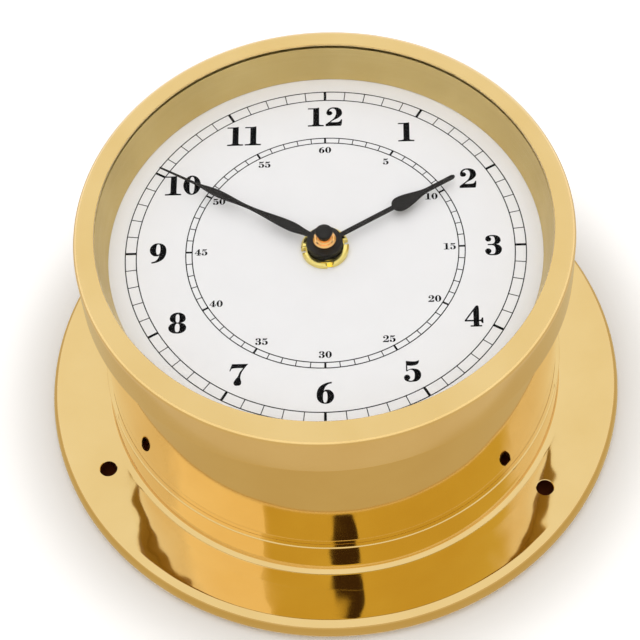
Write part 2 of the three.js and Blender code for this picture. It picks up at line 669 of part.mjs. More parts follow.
// Motor: the magnet sits above its pinion, inside the stator's eye
const rotorPinionTop = intermediateWheelTop + PINION_PROUD;
const magnetBottom = rotorPinionTop + STACK_CLEARANCE;
const magnetTop = magnetBottom + MAGNET_THICKNESS;
const statorTop = magnetBottom + (MAGNET_THICKNESS + STATOR_THICKNESS) / 2;
const statorBottom = statorTop - STATOR_THICKNESS;
const coilCoreTop = statorBottom - STACK_CLEARANCE;
const coilCoreBottom = coilCoreTop - STATOR_THICKNESS;
const coilZ = (coilCoreTop + coilCoreBottom) / 2;
const coilY = caseInnerTop - RUN_CLEARANCE - COIL_R;
const coilEnd = (side) => COIL_CENTRE_X + side * (COIL_LENGTH / 2 + COIL_CORE_END / 2 + RUN_CLEARANCE);

function rotorPinion() {
  const bottom = intermediateWheelTop - WHEEL_THICKNESS - PINION_PROUD;
  return join(
    gear(ROTOR_PINION_TEETH, ROTOR_MODULE, bottom, rotorPinionTop, rotorAt, rotorPinionPhase),
    rod(ARBOR_R, arborBack, middlePlateBottom - RUN_CLEARANCE / 2, rotorAt),
  );
}

function rotorMagnet() {
  const bore = rod(ARBOR_R + PRESS_CLEARANCE, magnetBottom - CUT_MARGIN, magnetTop + CUT_MARGIN, rotorAt);
  return cut(rod(MAGNET_R, magnetBottom, magnetTop, rotorAt, TUBE_FACETS), bore);
}

// A flat bar between two places, square at its ends
function bar(from, to, width, bottom, top) {
  const along = to.clone().sub(from).normalize();
  const side = new THREE.Vector2(-along.y, along.x).multiplyScalar(width / 2);
  const right = [from, to].map((end) => end.clone().sub(side));
  const left = [to, from].map((end) => end.clone().add(side));
  return slab([...right, ...left], bottom, top);
}

function statorPlate() {
  const eye = rod(STATOR_RING_R, statorBottom, statorTop, rotorAt, TUBE_FACETS);
  const kneeY = coilY - COIL_R - RUN_CLEARANCE - STATOR_ARM_WIDTH / 2;
  const arms = [-1, 1].map((side) => {
    const end = new THREE.Vector2(coilEnd(side), coilY);
    const knee = new THREE.Vector2(coilEnd(side), kneeY);
    const pads = [knee, end].map((at) => rod(STATOR_ARM_WIDTH / 2, statorBottom, statorTop, at));
    const reach = bar(rotorAt, knee, STATOR_ARM_WIDTH, statorBottom, statorTop);
    return join(reach, bar(knee, end, STATOR_ARM_WIDTH, statorBottom, statorTop), ...pads);
  });
  const hole = rod(
    MAGNET_R + RUN_CLEARANCE, statorBottom - CUT_MARGIN, statorTop + CUT_MARGIN, rotorAt, TUBE_FACETS,
  );
  return cut(join(eye, ...arms), hole);
}

function coilCore() {
  const half = COIL_CORE_WIDTH / 2;
  const left = coilEnd(-1) - COIL_CORE_END / 2;
  const right = coilEnd(1) + COIL_CORE_END / 2;
  return block(left, right, coilY - half, coilY + half, coilCoreBottom, coilCoreTop);
}

function coilWinding() {
  const half = COIL_CORE_WIDTH / 2 + PRESS_CLEARANCE;
  const body = toSolid(
    new THREE.CylinderGeometry(COIL_R, COIL_R, COIL_LENGTH, TUBE_FACETS)
      .rotateZ(Math.PI / 2)
      .translate(COIL_CENTRE_X, coilY, coilZ),
  );
  const window = block(
    coilEnd(-1), coilEnd(1), coilY - half, coilY + half,
    coilCoreBottom - PRESS_CLEARANCE, coilCoreTop + PRESS_CLEARANCE,
  );
  return cut(body, window);
}

// Movement case: the front shell with its threaded bush, the cover, and the plate between the trains
function movementFrontCase() {
  const outerHalf = caseInnerHalf + CASE_WALL;
  const shell = block(
    -outerHalf, outerHalf, caseInnerBottom - CASE_WALL, MOVEMENT_TOP_EDGE,
    innerBack + STACK_CLEARANCE, movementFront,
  );
  const hollow = block(
    -caseInnerHalf, caseInnerHalf, caseInnerBottom, caseInnerTop, innerBack - CUT_MARGIN, innerFront,
  );
  const wallHalf = contactX - RUN_CLEARANCE;
  const bayWall = block(-wallHalf, wallHalf, bayTop, bayWallTop, arborBack, innerFront + JOIN_OVERLAP);
  const bush = rod(BUSH_R, movementFront - JOIN_OVERLAP, bushTop, handsAt, TUBE_FACETS);
  const bore = rod(BUSH_BORE_R, innerFront - CUT_MARGIN, bushTop + CUT_MARGIN, handsAt, TUBE_FACETS);
  return cut(join(cut(shell, hollow), bayWall, bush), bore);
}

function movementBackCover() {
  const outerHalf = caseInnerHalf + CASE_WALL;
  const plate = block(
    -outerHalf, outerHalf, caseInnerBottom - CASE_WALL, MOVEMENT_TOP_EDGE, movementBack, innerBack,
  );
  const bayHalf = BATTERY_LENGTH / 2 + RUN_CLEARANCE;
  const bottom = movementBack - CUT_MARGIN;
  const top = innerBack + CUT_MARGIN;
  const bay = block(-bayHalf, bayHalf, caseInnerBottom, bayTop, bottom, top);
  return cut(plate, bay, rod(KNOB_SHAFT_R + RUN_CLEARANCE, bottom, top, settingAt, TUBE_FACETS));
}

function middlePlate() {
  const half = contactX - RUN_CLEARANCE;
  const plate = block(
    -half, half, bayWallTop + RUN_CLEARANCE, MIDDLE_PLATE_EDGE, middlePlateBottom, middlePlateTop,
  );
  const hole = (shaftR, at) => rod(
    shaftR + RUN_CLEARANCE, middlePlateBottom - CUT_MARGIN, middlePlateTop + CUT_MARGIN, at, TUBE_FACETS,
  );
  return cut(plate, hole(ARBOR_R, handsAt), hole(KNOB_SHAFT_R, settingAt));
}

// Setting knob: a ribbed disc on a shaft whose pinion meets the motion wheel
function settingKnob() {
  const knobTop = movementBack - RUN_CLEARANCE;
  const knobBottom = knobTop - KNOB_THICKNESS;
  const ribs = Array.from({ length: 2 * KNOB_RIBS }, (_, i) => {
    const r = KNOB_R - (i % 2) * KNOB_RIB_DEPTH;
    return polar(r, (Math.PI * i) / KNOB_RIBS).add(settingAt);
  });
  const pinionBottom = motionWheelTop - WHEEL_THICKNESS - PINION_PROUD;
  const pinionTop = motionWheelTop + PINION_PROUD;
  const phase = meshPhase(MOTION_TEETH, motionPhase, motionAt, SETTING_TEETH, settingAt);
  return join(
    slab(ribs, knobBottom, knobTop),
    rod(KNOB_SHAFT_R, knobTop - JOIN_OVERLAP, innerFront - RUN_CLEARANCE / 2, settingAt),
    gear(SETTING_TEETH, MOTION_MODULE, pinionBottom, pinionTop, settingAt, phase),
  );
}

// Battery along X, its nub to the right
function batteryCell() {
  const half = BATTERY_LENGTH / 2;
  const shoulder = half - BATTERY_NUB_LENGTH;
  const outline = [
    [0, -half], [BATTERY_R, -half], [BATTERY_R, shoulder],
    [BATTERY_NUB_R, shoulder], [BATTERY_NUB_R, half], [0, half],
  ].map(([r, along]) => new THREE.Vector2(r, along));
  const geometry = new THREE.LatheGeometry(outline, TUBE_FACETS).rotateZ(-Math.PI / 2);
  return toSolid(geometry.translate(0, batteryY, batteryZ));
}

// Circuit board behind the wheels, with its crystal and chip
const boardBottom = innerBack + RUN_CLEARANCE;
const boardTop = boardBottom + BOARD_THICKNESS;
const onBoard = boardTop + STACK_CLEARANCE;
const boardRight = contactX - 2 * RUN_CLEARANCE;
const boardLowY = bayWallTop + RUN_CLEARANCE + CONTACT_THICKNESS + RUN_CLEARANCE;

function quartzCrystal() {
  const geometry = new THREE.CylinderGeometry(CRYSTAL_R, CRYSTAL_R, CRYSTAL_LENGTH, ARBOR_FACETS);
  const x = boardRight - CRYSTAL_INSET - CRYSTAL_LENGTH / 2;
  const y = boardLowY + CRYSTAL_INSET + CRYSTAL_R;
  return toSolid(geometry.rotateZ(Math.PI / 2).translate(x, y, onBoard + CRYSTAL_R));
}

function controlChip() {
  const left = BOARD_LEFT + CHIP_INSET;
  const top = BOARD_EDGE - CHIP_INSET;
  return block(left, left + CHIP_SIZE, top - CHIP_SIZE, top, onBoard, onBoard + CHIP_THICKNESS);
}

// Contacts: an upright strip at each end of the battery, with a foot on the board
function contactStrip(side, stripEnd) {
  const near = side * contactX;
  const far = side * (contactX + CONTACT_THICKNESS);
  return block(
    Math.min(near, far), Math.max(near, far), batteryY - CONTACT_DROP, stripEnd,
    onBoard, batteryZ + CONTACT_RISE,
  );
}

function positiveContact() {
  const stripEnd = bayWallTop + CONTACT_REACH;
  const foot = block(
    contactX - CONTACT_FOOT, contactX + CONTACT_THICKNESS, stripEnd - CONTACT_FOOT, stripEnd,
    onBoard, onBoard + CONTACT_THICKNESS,
  );
  return join(contactStrip(1, stripEnd), foot);
}

// The strip at the flat end runs along the battery bay's wall to reach the board
function negativeContact() {
  const runNear = bayWallTop + RUN_CLEARANCE;
  const runFar = runNear + CONTACT_THICKNESS;
  const footRight = BOARD_LEFT + CONTACT_FOOT;
  const run = block(
    -contactX - CONTACT_THICKNESS, footRight, runNear, runFar, onBoard, onBoard + CONTACT_RUN_HEIGHT,
  );
  const foot = block(
    BOARD_LEFT, footRight, runNear, runFar + CONTACT_FOOT, onBoard, onBoard + CONTACT_THICKNESS,
  );
  return join(contactStrip(-1, runFar), run, foot);
}

addPiece(base, "base_flange", baseFlange(), "polishedBrass");

addPiece(drum, "barrel", barrel(), "polishedBrass");
addPiece(drum, "bezel_ring", bezelRing(), "polishedBrass");
addPiece(drum, "window_glass", rod(stackR, glassBottom, glassTop, handsAt, RING_FACETS), "glass");
addPiece(drum, "glass_gasket", tube(stackR, stackR - GASKET_WIDTH, gasketBottom, gasketTop), "blackRubber");
addPiece(drum, "reflector_ring", reflectorRing(), "matteBrass");
addPiece(drum, "dial_plate", tube(stackR, BUSH_R + PRESS_CLEARANCE, dialBottom, dialTop), "whiteEnamel");

addPiece(
  movement, "dial_washer",
  tube(WASHER_R, BUSH_R + PRESS_CLEARANCE, washerBottom, washerTop, TUBE_FACETS), "blackRubber",
);
addPiece(movement, "fixing_nut", fixingNut(), "brightBrass");
addPiece(movement, "movement_front_case", movementFrontCase(), "blackPlastic");
addPiece(movement, "movement_back_cover", movementBackCover(), "blackPlastic");
addPiece(movement, "middle_plate", middlePlate(), "whitePlastic");
addPiece(movement, "stator_plate", statorPlate(), "steel");
addPiece(movement, "coil_core", coilCore(), "steel");
addPiece(movement, "coil_winding", coilWinding(), "copper");
addPiece(
  movement, "circuit_board",
  block(BOARD_LEFT, boardRight, boardLowY, BOARD_EDGE, boardBottom, boardTop), "greenBoard",
);
addPiece(movement, "quartz_crystal", quartzCrystal(), "steel");
addPiece(movement, "control_chip", controlChip(), "blackPlastic");
addPiece(movement, "positive_contact", positiveContact(), "steel");
addPiece(movement, "negative_contact", negativeContact(), "steel");
addPiece(movement, "battery_cell", batteryCell(), "batteryJacket");
addPiece(movement, "centre_wheel", centreWheel(), "whitePlastic");
addPiece(movement, "third_wheel", thirdWheel(), "whitePlastic");
addPiece(movement, "seconds_wheel", secondsWheel(), "whitePlastic");
addPiece(movement, "intermediate_wheel", intermediateWheel(), "whitePlastic");
addPiece(movement, "rotor_pinion", rotorPinion(), "whitePlastic");
addPiece(movement, "rotor_magnet", rotorMagnet(), "ferrite");
addPiece(movement, "motion_wheel", motionWheel(), "whitePlastic");
addPiece(movement, "setting_knob", settingKnob(), "whitePlastic");

addPiece(hands, "hour_wheel", hourWheel(), "whitePlastic");
addPiece(
  hands, "hour_hand_collet",
  tube(COLLET_R, HOUR_TUBE_R + PRESS_CLEARANCE, colletBottom, colletBottom + COLLET_HEIGHT, TUBE_FACETS),
  "blackEnamel",
);
addPiece(hands, "hour_hand", hourHand(), "blackEnamel");
addPiece(hands, "minute_arbor", minuteArbor(), "steel");
addPiece(hands, "minute_hand", minuteHand(), "blackEnamel");
addPiece(
  hands, "minute_hand_bush",
  tube(HAND_BUSH_R, MINUTE_ARBOR_R + PRESS_CLEARANCE, handBushBottom, handBushTop, TUBE_FACETS),
  "brightBrass",
);
addPiece(hands, "hand_cap", handCap(), "blackEnamel");

export default clock;
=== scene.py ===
# Ship's clock: a polished brass drum on a wall flange, with its printed dial, glass, hands and battery
# movement. Lengths are written in millimetres and become metres where a mesh is made, apart from those of the
# stage that say metres.
import json
import math

import bmesh
import bpy
import numpy as np
from mathutils import Matrix, Vector
from mathutils.geometry import tessellate_polygon


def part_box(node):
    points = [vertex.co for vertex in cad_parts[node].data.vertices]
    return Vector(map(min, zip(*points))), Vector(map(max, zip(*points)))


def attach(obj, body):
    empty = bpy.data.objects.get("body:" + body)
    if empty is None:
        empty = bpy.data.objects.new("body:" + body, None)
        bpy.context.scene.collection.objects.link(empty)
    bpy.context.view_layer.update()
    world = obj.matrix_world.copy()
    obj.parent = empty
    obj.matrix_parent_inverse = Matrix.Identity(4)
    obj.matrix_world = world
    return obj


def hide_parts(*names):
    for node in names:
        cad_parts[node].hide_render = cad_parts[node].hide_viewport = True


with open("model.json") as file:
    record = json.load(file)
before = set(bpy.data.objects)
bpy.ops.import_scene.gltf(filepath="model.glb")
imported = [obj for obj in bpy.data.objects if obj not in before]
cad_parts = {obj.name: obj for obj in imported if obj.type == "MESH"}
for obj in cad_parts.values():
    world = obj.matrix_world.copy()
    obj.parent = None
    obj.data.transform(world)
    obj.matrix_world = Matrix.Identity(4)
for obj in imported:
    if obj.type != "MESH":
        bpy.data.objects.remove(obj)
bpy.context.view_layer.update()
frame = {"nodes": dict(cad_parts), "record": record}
nodes = frame["nodes"]

MM = 0.001
SEGMENTS = 360
SMALL_SEGMENTS = 96
ROUNDING_STEPS = 4
CREASE = math.radians(35)

# Roundings of small edges, from crisp to soft
CRISP_EDGE = 0.05
BROKEN_EDGE = 0.1
EASED_EDGE = 0.15
ROUND_EDGE = 0.2
SOFT_EDGE = 0.3


def span(node):
    """Outer radius, lowest level and highest level of a turned CAD node, in millimetres."""
    low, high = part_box(node)
    return round(high.x / MM, 3), round(low.z / MM, 3), round(high.z / MM, 3)


# Camera of the photograph: its distance and aim, and how far the dial is turned under it
CAMERA_DISTANCE = 601.15
CAMERA_ELEVATION = math.radians(56.855)
CAMERA_ROLL = math.radians(4.586)
CAMERA_SIDE = -2.644
CAMERA_LIFT = 16.230
AIM_HEIGHT = 2.2
DIAL_TURN = math.radians(3.85)
FOCAL_PIXELS = 2251.4
FRAME_PIXELS = 640
SENSOR_WIDTH = 36.0
NEAREST_SEEN = 10.0

# Flange and collar. A straight stretch beside each arc keeps the flat faces flat in the shading.
FLANGE_FACE = 7.0
FLANGE_SHEET = 1.2
RIM_WIDTH = 2.5
RIM_WIDEST = 2.8
RIM_FOOT = 1.4
RIM_LOWER_STEPS = 14
RIM_UPPER_STEPS = 20
RIM_INNER_STEPS = 8
RIM_FOOT_STEPS = 6
STRAIGHT = 0.3
FILLET_R = 1.5
FILLET_STEPS = 16
COLLAR_WALL = 0.8
COLLAR_GAP = 0.3
COLLAR_EDGE = 0.3
LEDGE_INNER_R = 52.4
LEDGE_TOP = 7.4
SCREW_HOLE_R = 2.2
SCREW_HOLE_EDGE = 0.14
SCREW_CIRCLE_R = 65.1
SCREW_TURNS = (85.8, 205.8, 325.8)
CUTTER_REACH = 1.0

# Drum. The visible joints beside it are closed to a push fit. A face of the bezel is left dull, and darker
# brown as painted shade, where the downward part of its normal is over DOWNWARD.
PUSH_FIT = 0.01
DOWNWARD = 0.7
BARREL_WALL = 1.2
BARREL_LIP_R = 50.9
BARREL_SHOULDER = 0.6
BEZEL_WINDOW_R = 55.3
BEZEL_LIP = 1.0
BEZEL_ROUNDING = 3.0
BEZEL_INNER_EDGE = 0.7
BEZEL_LOWER_EDGE = 0.35
BEZEL_STEPS = 12
REFLECTOR_FOOT_R = 53.1
REFLECTOR_TOP_R = 55.3
REFLECTOR_WALL = 1.2
REFLECTOR_LIP = 0.8
REFLECTOR_GAP = 0.03
DIAL_HOLE_R = 4.15

# Print on the dial
HOURS = 12
MINUTES = 60
FIVE_MINUTES = MINUTES // HOURS
INK_DEPTH = 0.02
INK_RISE = 0.03
MINUTE_TRACK = (46.3, 49.0)
INNER_TRACK = (32.6, 34.15)
TRACK_LINE = 0.26
TICK_LINE = 0.22
FIVE_MINUTE_LINE = 0.64
INNER_FIVE_LINE = 0.5
HOUR_CIRCLE_R = 41.0
HOUR_HEIGHT = 6.0
HOUR_WIDTH = 5.05
SMALL_CIRCLE_R = 30.4
SMALL_HEIGHT = 1.9
SMALL_WIDTH = 1.75
DIGIT_GAP = 0.09

# Hands: turns clockwise from twelve, distances from the dial's middle and half widths. The spade's round back
# is an arc from the angle given, and a station of the minute hand is its distance and half width.
HOUR_TURN = 59.0
MINUTE_TURN = 300.0
HOUR_LENGTH = 37.5
MINUTE_LENGTH = 47.5
HAND_ROOT = 3.0
HOUR_SHAFT = 0.6
HOUR_TIP = 0.25
SPADE_AT = 21.6
SPADE_HALF = 2.1
SPADE_BACK = 163.4
SPADE_END = 30.0
MINUTE_SHAFT = 0.75
LEAF = (9.5, 1.35)
WAIST = (21.9, 0.45)
BULGE = (30.6, 1.0)
NEEDLE = (37.5, 0.3)
MINUTE_TIP = 0.18
HAND_EDGE = 0.05
HAND_EYE_R = 4.4
EYE_STEPS = 80
EYE_CLEAR = 0.01
HOUR_BORE_R = 2.7
MINUTE_BORE_R = 1.65
TAPER_STEPS = 24

# Nut under the hands, and what holds them
NUT_R = 5.85
NUT_BORE_R = 4.15
NUT_EDGE = 0.45
NUT_SLOT_HALF = 0.65
NUT_SLOT_FLOOR_R = 4.85
NUT_SLOTS = 4
NUT_RIM_STEPS = 24
NUT_TURN = 12.0
COLLET_R = 4.2
HAND_BUSH_R = 2.8
HAND_BUSH_EDGE = 0.4
NECK_R = 1.75
NECK_FLARE = 0.35
NECK_BORE_R = 1.07
CAP_R = 2.15
CAP_HEIGHT = 1.0
CAP_DOME = 0.8
CAP_STEPS = 16

# Movement: its bevels, the limits within which points are merged and faces made whole, and the coil's wire
CASE_BEVEL = 0.35
COVER_BEVEL = 0.3
KNOB_BEVEL = 0.12
BEVEL_SEGMENTS = 2
BEVEL_FROM = math.radians(40)
FLAT_WITHIN = math.radians(1)
DOUBLE_WITHIN = 0.002
WIRE_PITCH = 0.25
WIRE_DEPTH = 0.05

# Battery cell: the film laps over both ends of the can, whose nub stands out of one
NUB_HEIGHT = 1.2
NUB_FOOT_R = 2.9
NUB_R = 2.7
NUB_EDGE = 0.4
FILM_START = 0.1
FILM_WALL = 0.4
FILM_LAP = 0.6
FILM_NUB_LAP = 0.9
FILM_SHOULDER = 0.5
FILM_SLOPE = 0.8
CAN_INSET = 0.7
CAN_NUB_INSET = 1.0
CAN_SLOPE = 0.9
CAN_DROP = 0.15

# Light. The floor's lift starts outside the flange's foot, so the screw holes stay dark.
AMBIENT = 0.62
FLOOR_LIFT = 0.3
FLOOR_LIFT_FROM = 74.0
FLOOR_LIFT_FULL = 96.0
# Painted shade: a brown band on the floor under the hollow flange, seen through the screw holes
PAINTED_SHADE_R = 63.0
PAINTED_SHADE_HALF = 10.0
# The mirrored table: a glowing ring with the clock's painted shadow out to its step
TABLE_INNER_R = 75.5
TABLE_STEP_R = 93.6
TABLE_STEP_HALF = 0.8
TABLE_FADE_R = 156.0
TABLE_OUTER_R = 260.0
TABLE_RISE = 0.2

# In metres: half the floor's width, and the heights that the lamps and the mirrored ovals face
FLOOR_HALF = 3.0
LAMP_AIM = 0.04
MIRROR_AIM = 0.03

# Softboxes: place and width in metres, and power in watts
SOFTBOXES = {
    "key_softbox": ((0.0, 0.6, 1.4), 2.0, 4.0),
    "fill_softbox": ((0.0, -0.5, 1.5), 1.6, 7.0),
}

# What the brass shows of the camera's side: distance in metres, degrees round the clock from the line of
# view, width and height in metres, colour, strength, and the share of the half width that fades
MIRRORED = {
    "camera_body": (0.61, -1.1, 0.078, 0.21, "#4A3A2C", 0.8, 0.3),
    "room_wall": (1.0, 25, 1.75, 1.4, "#E6DB84", 1.0, 0.25),
    "window": (1.2, -62, 0.9, 1.3, "#FFFFFF", 1.2, 0.3),
}


# Meshes


def add_piece(name, points, faces, material, body, slot, *replaced):
    """Mesh of points in millimetres and four-cornered faces. Points that fall together are merged,
    so seams and poles close, and a face that loses a corner becomes a triangle or goes."""
    points = np.round(np.asarray(points, float).reshape(-1, 3), 5)
    points, index = np.unique(points, axis=0, return_inverse=True)
    faces = index.reshape(-1)[np.asarray(faces)]
    distinct = faces != np.roll(faces, 1, axis=1)
    corners = distinct.sum(axis=1)
    quads = faces[corners == 4]
    triangles = faces[corners == 3][distinct[corners == 3]].reshape(-1, 3)
    mesh = bpy.data.meshes.new(name)
    mesh.from_pydata((points * MM).tolist(), [], quads.tolist() + triangles.tolist())
    mesh.shade_smooth()
    mesh.set_sharp_from_angle(angle=CREASE)
    mesh.materials.append(material)
    piece = bpy.data.objects.new(name, mesh)
    bpy.context.scene.collection.objects.link(piece)
    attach(piece, body)
    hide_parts(*replaced)
    return piece


def grid_faces(rows, columns):
    """Four-cornered faces of a grid that closes on itself both ways."""
    i, j = np.meshgrid(np.arange(rows), np.arange(columns), indexing="ij")
    below, beside = (i + 1) % rows, (j + 1) % columns
    cells = [i * columns + j, i * columns + beside, below * columns + beside, below * columns + j]
    return np.stack(cells, axis=-1).reshape(-1, 4)


def turned(section, segments=SEGMENTS, axis="z", centre=(0, 0, 0)):
    """A closed section turned round an axis: x = r cos t, y = r sin t, z = h, with t in even steps of a
    full turn. The section runs anticlockwise in (r, h). For axis x the three are taken in turn."""
    turn = np.arange(segments) * 2 * np.pi / segments
    radius, height = np.asarray(section, float).T
    level = np.repeat(height[:, None], segments, axis=1)
    points = np.stack([np.outer(radius, np.cos(turn)), np.outer(radius, np.sin(turn)), level], axis=-1)
    if axis == "x":
        points = points[..., [2, 0, 1]]
    return points.reshape(-1, 3) + np.array(centre), grid_faces(len(radius), segments)


def together(*meshes):
    """Several point and face lists as one."""
    starts = np.cumsum([0] + [len(points) for points, _ in meshes[:-1]])
    faces = [part + start for (_, part), start in zip(meshes, starts)]
    return np.vstack([points for points, _ in meshes]), np.vstack(faces)


def arc(centre, radii, start, stop, steps):
    """Points of an elliptical arc: r = cr + a cos t, h = ch + b sin t, t in degrees, with no rounding."""
    t = np.radians(np.linspace(start, stop, steps + 1))
    return [(centre[0] + radii[0] * c, centre[1] + radii[1] * s, 0) for c, s in zip(np.cos(t), np.sin(t))]


def rounded(corners, steps=ROUNDING_STEPS):
    """Outline through corners (r, h, rounding). A rounded corner is an arc that touches both its sides,
    and one more point a little past each end of the arc keeps the sides flat in the shading."""
    corners = np.asarray(corners, float)
    outline = []
    for here, before, after in zip(corners, np.roll(corners, 1, axis=0), np.roll(corners, -1, axis=0)):
        if here[2] == 0:
            outline.append(here[None, :2])
            continue
        back = (before - here)[:2] / np.linalg.norm((before - here)[:2])
        ahead = (after - here)[:2] / np.linalg.norm((after - here)[:2])
        half = math.acos(np.clip(back @ ahead, -1, 1)) / 2
        reach = here[2] / math.tan(half)
        middle = here[:2] + (back + ahead) / np.linalg.norm(back + ahead) * here[2] / math.sin(half)
        first, last = here[:2] + back * reach - middle, here[:2] + ahead * reach - middle
        start = math.atan2(first[1], first[0])
        sweep = (math.atan2(last[1], last[0]) - start + math.pi) % (2 * math.pi) - math.pi
        t = start + sweep * np.linspace(0, 1, steps + 1)
        bend = middle + here[2] * np.column_stack([np.cos(t), np.sin(t)])
        keep = 0.25 * here[2]
        outline += [here[None, :2] + back * (reach + keep), bend, here[None, :2] + ahead * (reach + keep)]
    return np.vstack(outline)


def signed_area(contour):
    """Half the sum of x y' - x' y along a contour, which is above nought where it runs anticlockwise."""
    x, y = contour.T
    return 0.5 * np.sum(x * np.roll(y, -1) - np.roll(x, -1) * y)


def plate(contours, bottom, top, edge=0.0):
    """Flat plate between two levels. The first contour is its outline and the others are holes. With an
    edge, the upper rim is drawn in along the contour's normals by that much, as a small chamfer."""
    contours = [np.asarray(c, float) for c in contours]
    backward = [(signed_area(c) > 0) != (i == 0) for i, c in enumerate(contours)]
    contours = [c[::-1] if wrong else c for c, wrong in zip(contours, backward)]
    parts = []
    for contour in contours:
        along = np.roll(contour, -1, axis=0) - np.roll(contour, 1, axis=0)
        along /= np.linalg.norm(along, axis=1, keepdims=True)
        inset = contour + edge * np.column_stack([-along[:, 1], along[:, 0]])
        parts.append((contour, inset))
    inner = np.vstack([inset for _, inset in parts])
    outer = np.vstack([contour for contour, _ in parts])
    triangles = np.array(tessellate_polygon([[Vector((*p, 0)) for p in inset] for _, inset in parts]))
    a, b, c = (inner[triangles[:, k]] for k in range(3))
    turn = (b - a)[:, 0] * (c - a)[:, 1] - (b - a)[:, 1] * (c - a)[:, 0]
    triangles[turn < 0] = triangles[turn < 0][:, ::-1]
    count = len(outer)
    levels = [(outer, bottom), (outer, top - edge), (inner, top)]
    points = np.vstack([np.column_stack([flat, np.full(count, level)]) for flat, level in levels])
    walls, start = [], 0
    for contour, _ in parts:
        here = start + np.arange(len(contour))
        ahead = start + (np.arange(len(contour)) + 1) % len(contour)
        for row in (0, count):
            walls.append(np.column_stack([here + row, ahead + row, ahead + row + count, here + row + count]))
        start += len(contour)
    roof = np.column_stack([triangles, triangles[:, 2]]) + 2 * count
    floor = np.column_stack([triangles[:, ::-1], triangles[:, 0]])
    return points, np.vstack(walls + [roof, floor])


# Materials


def linear(code):
    """Linear colour of an sRGB hex code."""
    values = [int(code[i:i + 2], 16) / 255 for i in (1, 3, 5)]
    return tuple(v / 12.92 if v <= 0.04045 else ((v + 0.055) / 1.055) ** 2.4 for v in values) + (1.0,)


def add(tree, kind, inputs=None, **settings):
    """Add a node, set its properties, and set its inputs or link them to other nodes' sockets."""
    new = tree.nodes.new("ShaderNode" + kind)
    for key, value in settings.items():
        setattr(new, key, value)
    for key, value in (inputs or {}).items():
        if isinstance(value, bpy.types.NodeSocket):
            tree.links.new(value, new.inputs[key])
        else:
            new.inputs[key].default_value = value
    return new


def begin(name):
    """An empty material and its tree."""
    material = bpy.data.materials.new(name)
    material.use_nodes = True
    material.node_tree.nodes.clear()
    return material, material.node_tree


def end(tree, shader):
    """Make a shader the material's surface."""
    add(tree, "OutputMaterial", {"Surface": shader.outputs[0]})


def noise(tree, size, detail=2.0, stretch=(1, 1, 1), vector=None):
    """Noise on object coordinates whose lumps are about size millimetres across."""
    place = vector or add(tree, "TexCoord").outputs["Object"]
    mapping = add(tree, "Mapping", {"Vector": place, "Scale": [s / (size * MM) for s in stretch]})
    return add(tree, "TexNoise", {"Vector": mapping.outputs[0], "Scale": 1.0, "Detail": detail})


def spread(tree, value, low, high):
    """Bring noise, which lies mostly between 0.3 and 0.7, to a range of values."""
    inputs = {"Value": value, "From Min": 0.3, "From Max": 0.7, "To Min": low, "To Max": high}
    return add(tree, "MapRange", inputs)


def tinted(tree, value, dark, light):
    """Mix two hex colours by noise."""
    share = spread(tree, value, 0.0, 1.0)
    inputs = {"Factor": share.outputs[0], 6: linear(dark), 7: linear(light)}
    return add(tree, "Mix", inputs, data_type="RGBA").outputs[2]


def turning_lines(tree, pitch):
    """Noise that only changes along a turned section, so that it draws circles round the axis."""
    place = add(tree, "SeparateXYZ", {"Vector": add(tree, "TexCoord").outputs["Object"]})
    x, y, z = place.outputs
    squares = add(tree, "Math", {0: x, 1: x}, operation="MULTIPLY")
    total = add(tree, "Math", {0: y, 1: y, 2: squares.outputs[0]}, operation="MULTIPLY_ADD")
    radius = add(tree, "Math", {0: total.outputs[0]}, operation="SQRT")
    along = add(tree, "CombineXYZ", {"X": radius.outputs[0], "Y": z})
    return noise(tree, pitch, 3.0, vector=along.outputs[0])


def brass(name, light, dark, roughness, line_depth, wave_depth=0.0, coat=0.0, wave_size=15.0):
    """Brass turned on a lathe: circles from the tool or the wheel, a slow waviness from buffing, and
    patches a little darker. The lacquer over it is the coat. A lathe's circles lie about 0.1 mm apart, and
    are drawn coarser here so that they show."""
    material, tree = begin(name)
    patches = noise(tree, 18.0, 3.0)
    circles = turning_lines(tree, 0.35)
    waves = noise(tree, wave_size, 0.5, (1, 1, 0.3))
    lines = add(tree, "Bump", {"Strength": 1.0, "Distance": line_depth * MM, "Height": circles.outputs[0]})
    bump = {
        "Strength": 1.0, "Distance": wave_depth * MM, "Height": waves.outputs[0], "Normal": lines.outputs[0],
    }
    surface = {
        "Base Color": tinted(tree, patches.outputs[0], dark, light),
        "Metallic": 1.0,
        "Roughness": spread(tree, circles.outputs[0], roughness * 0.8, roughness * 1.25).outputs[0],
        "Normal": add(tree, "Bump", bump).outputs[0],
        "Coat Weight": coat,
        "Coat Roughness": 0.03,
    }
    end(tree, add(tree, "BsdfPrincipled", surface))
    return material


def coated(name, light, dark, roughness, grain, depth, metallic=0.0, coat=0.0, specular=0.5):
    """Paint, plastic, rubber or plain metal: two close tints, a fine grain and uneven gloss."""
    material, tree = begin(name)
    patches = noise(tree, 9.0, 3.0)
    pimples = noise(tree, grain, 2.0)
    surface = {
        "Base Color": tinted(tree, patches.outputs[0], dark, light),
        "Metallic": metallic,
        "Roughness": spread(tree, pimples.outputs[0], roughness * 0.85, roughness * 1.15).outputs[0],
        "Normal": add(
            tree, "Bump", {"Strength": 1.0, "Distance": depth * MM, "Height": pimples.outputs[0]}
        ).outputs[0],
        "Coat Weight": coat,
        "Coat Roughness": 0.1,
        "Specular IOR Level": specular,
    }
    end(tree, add(tree, "BsdfPrincipled", surface))
    return material


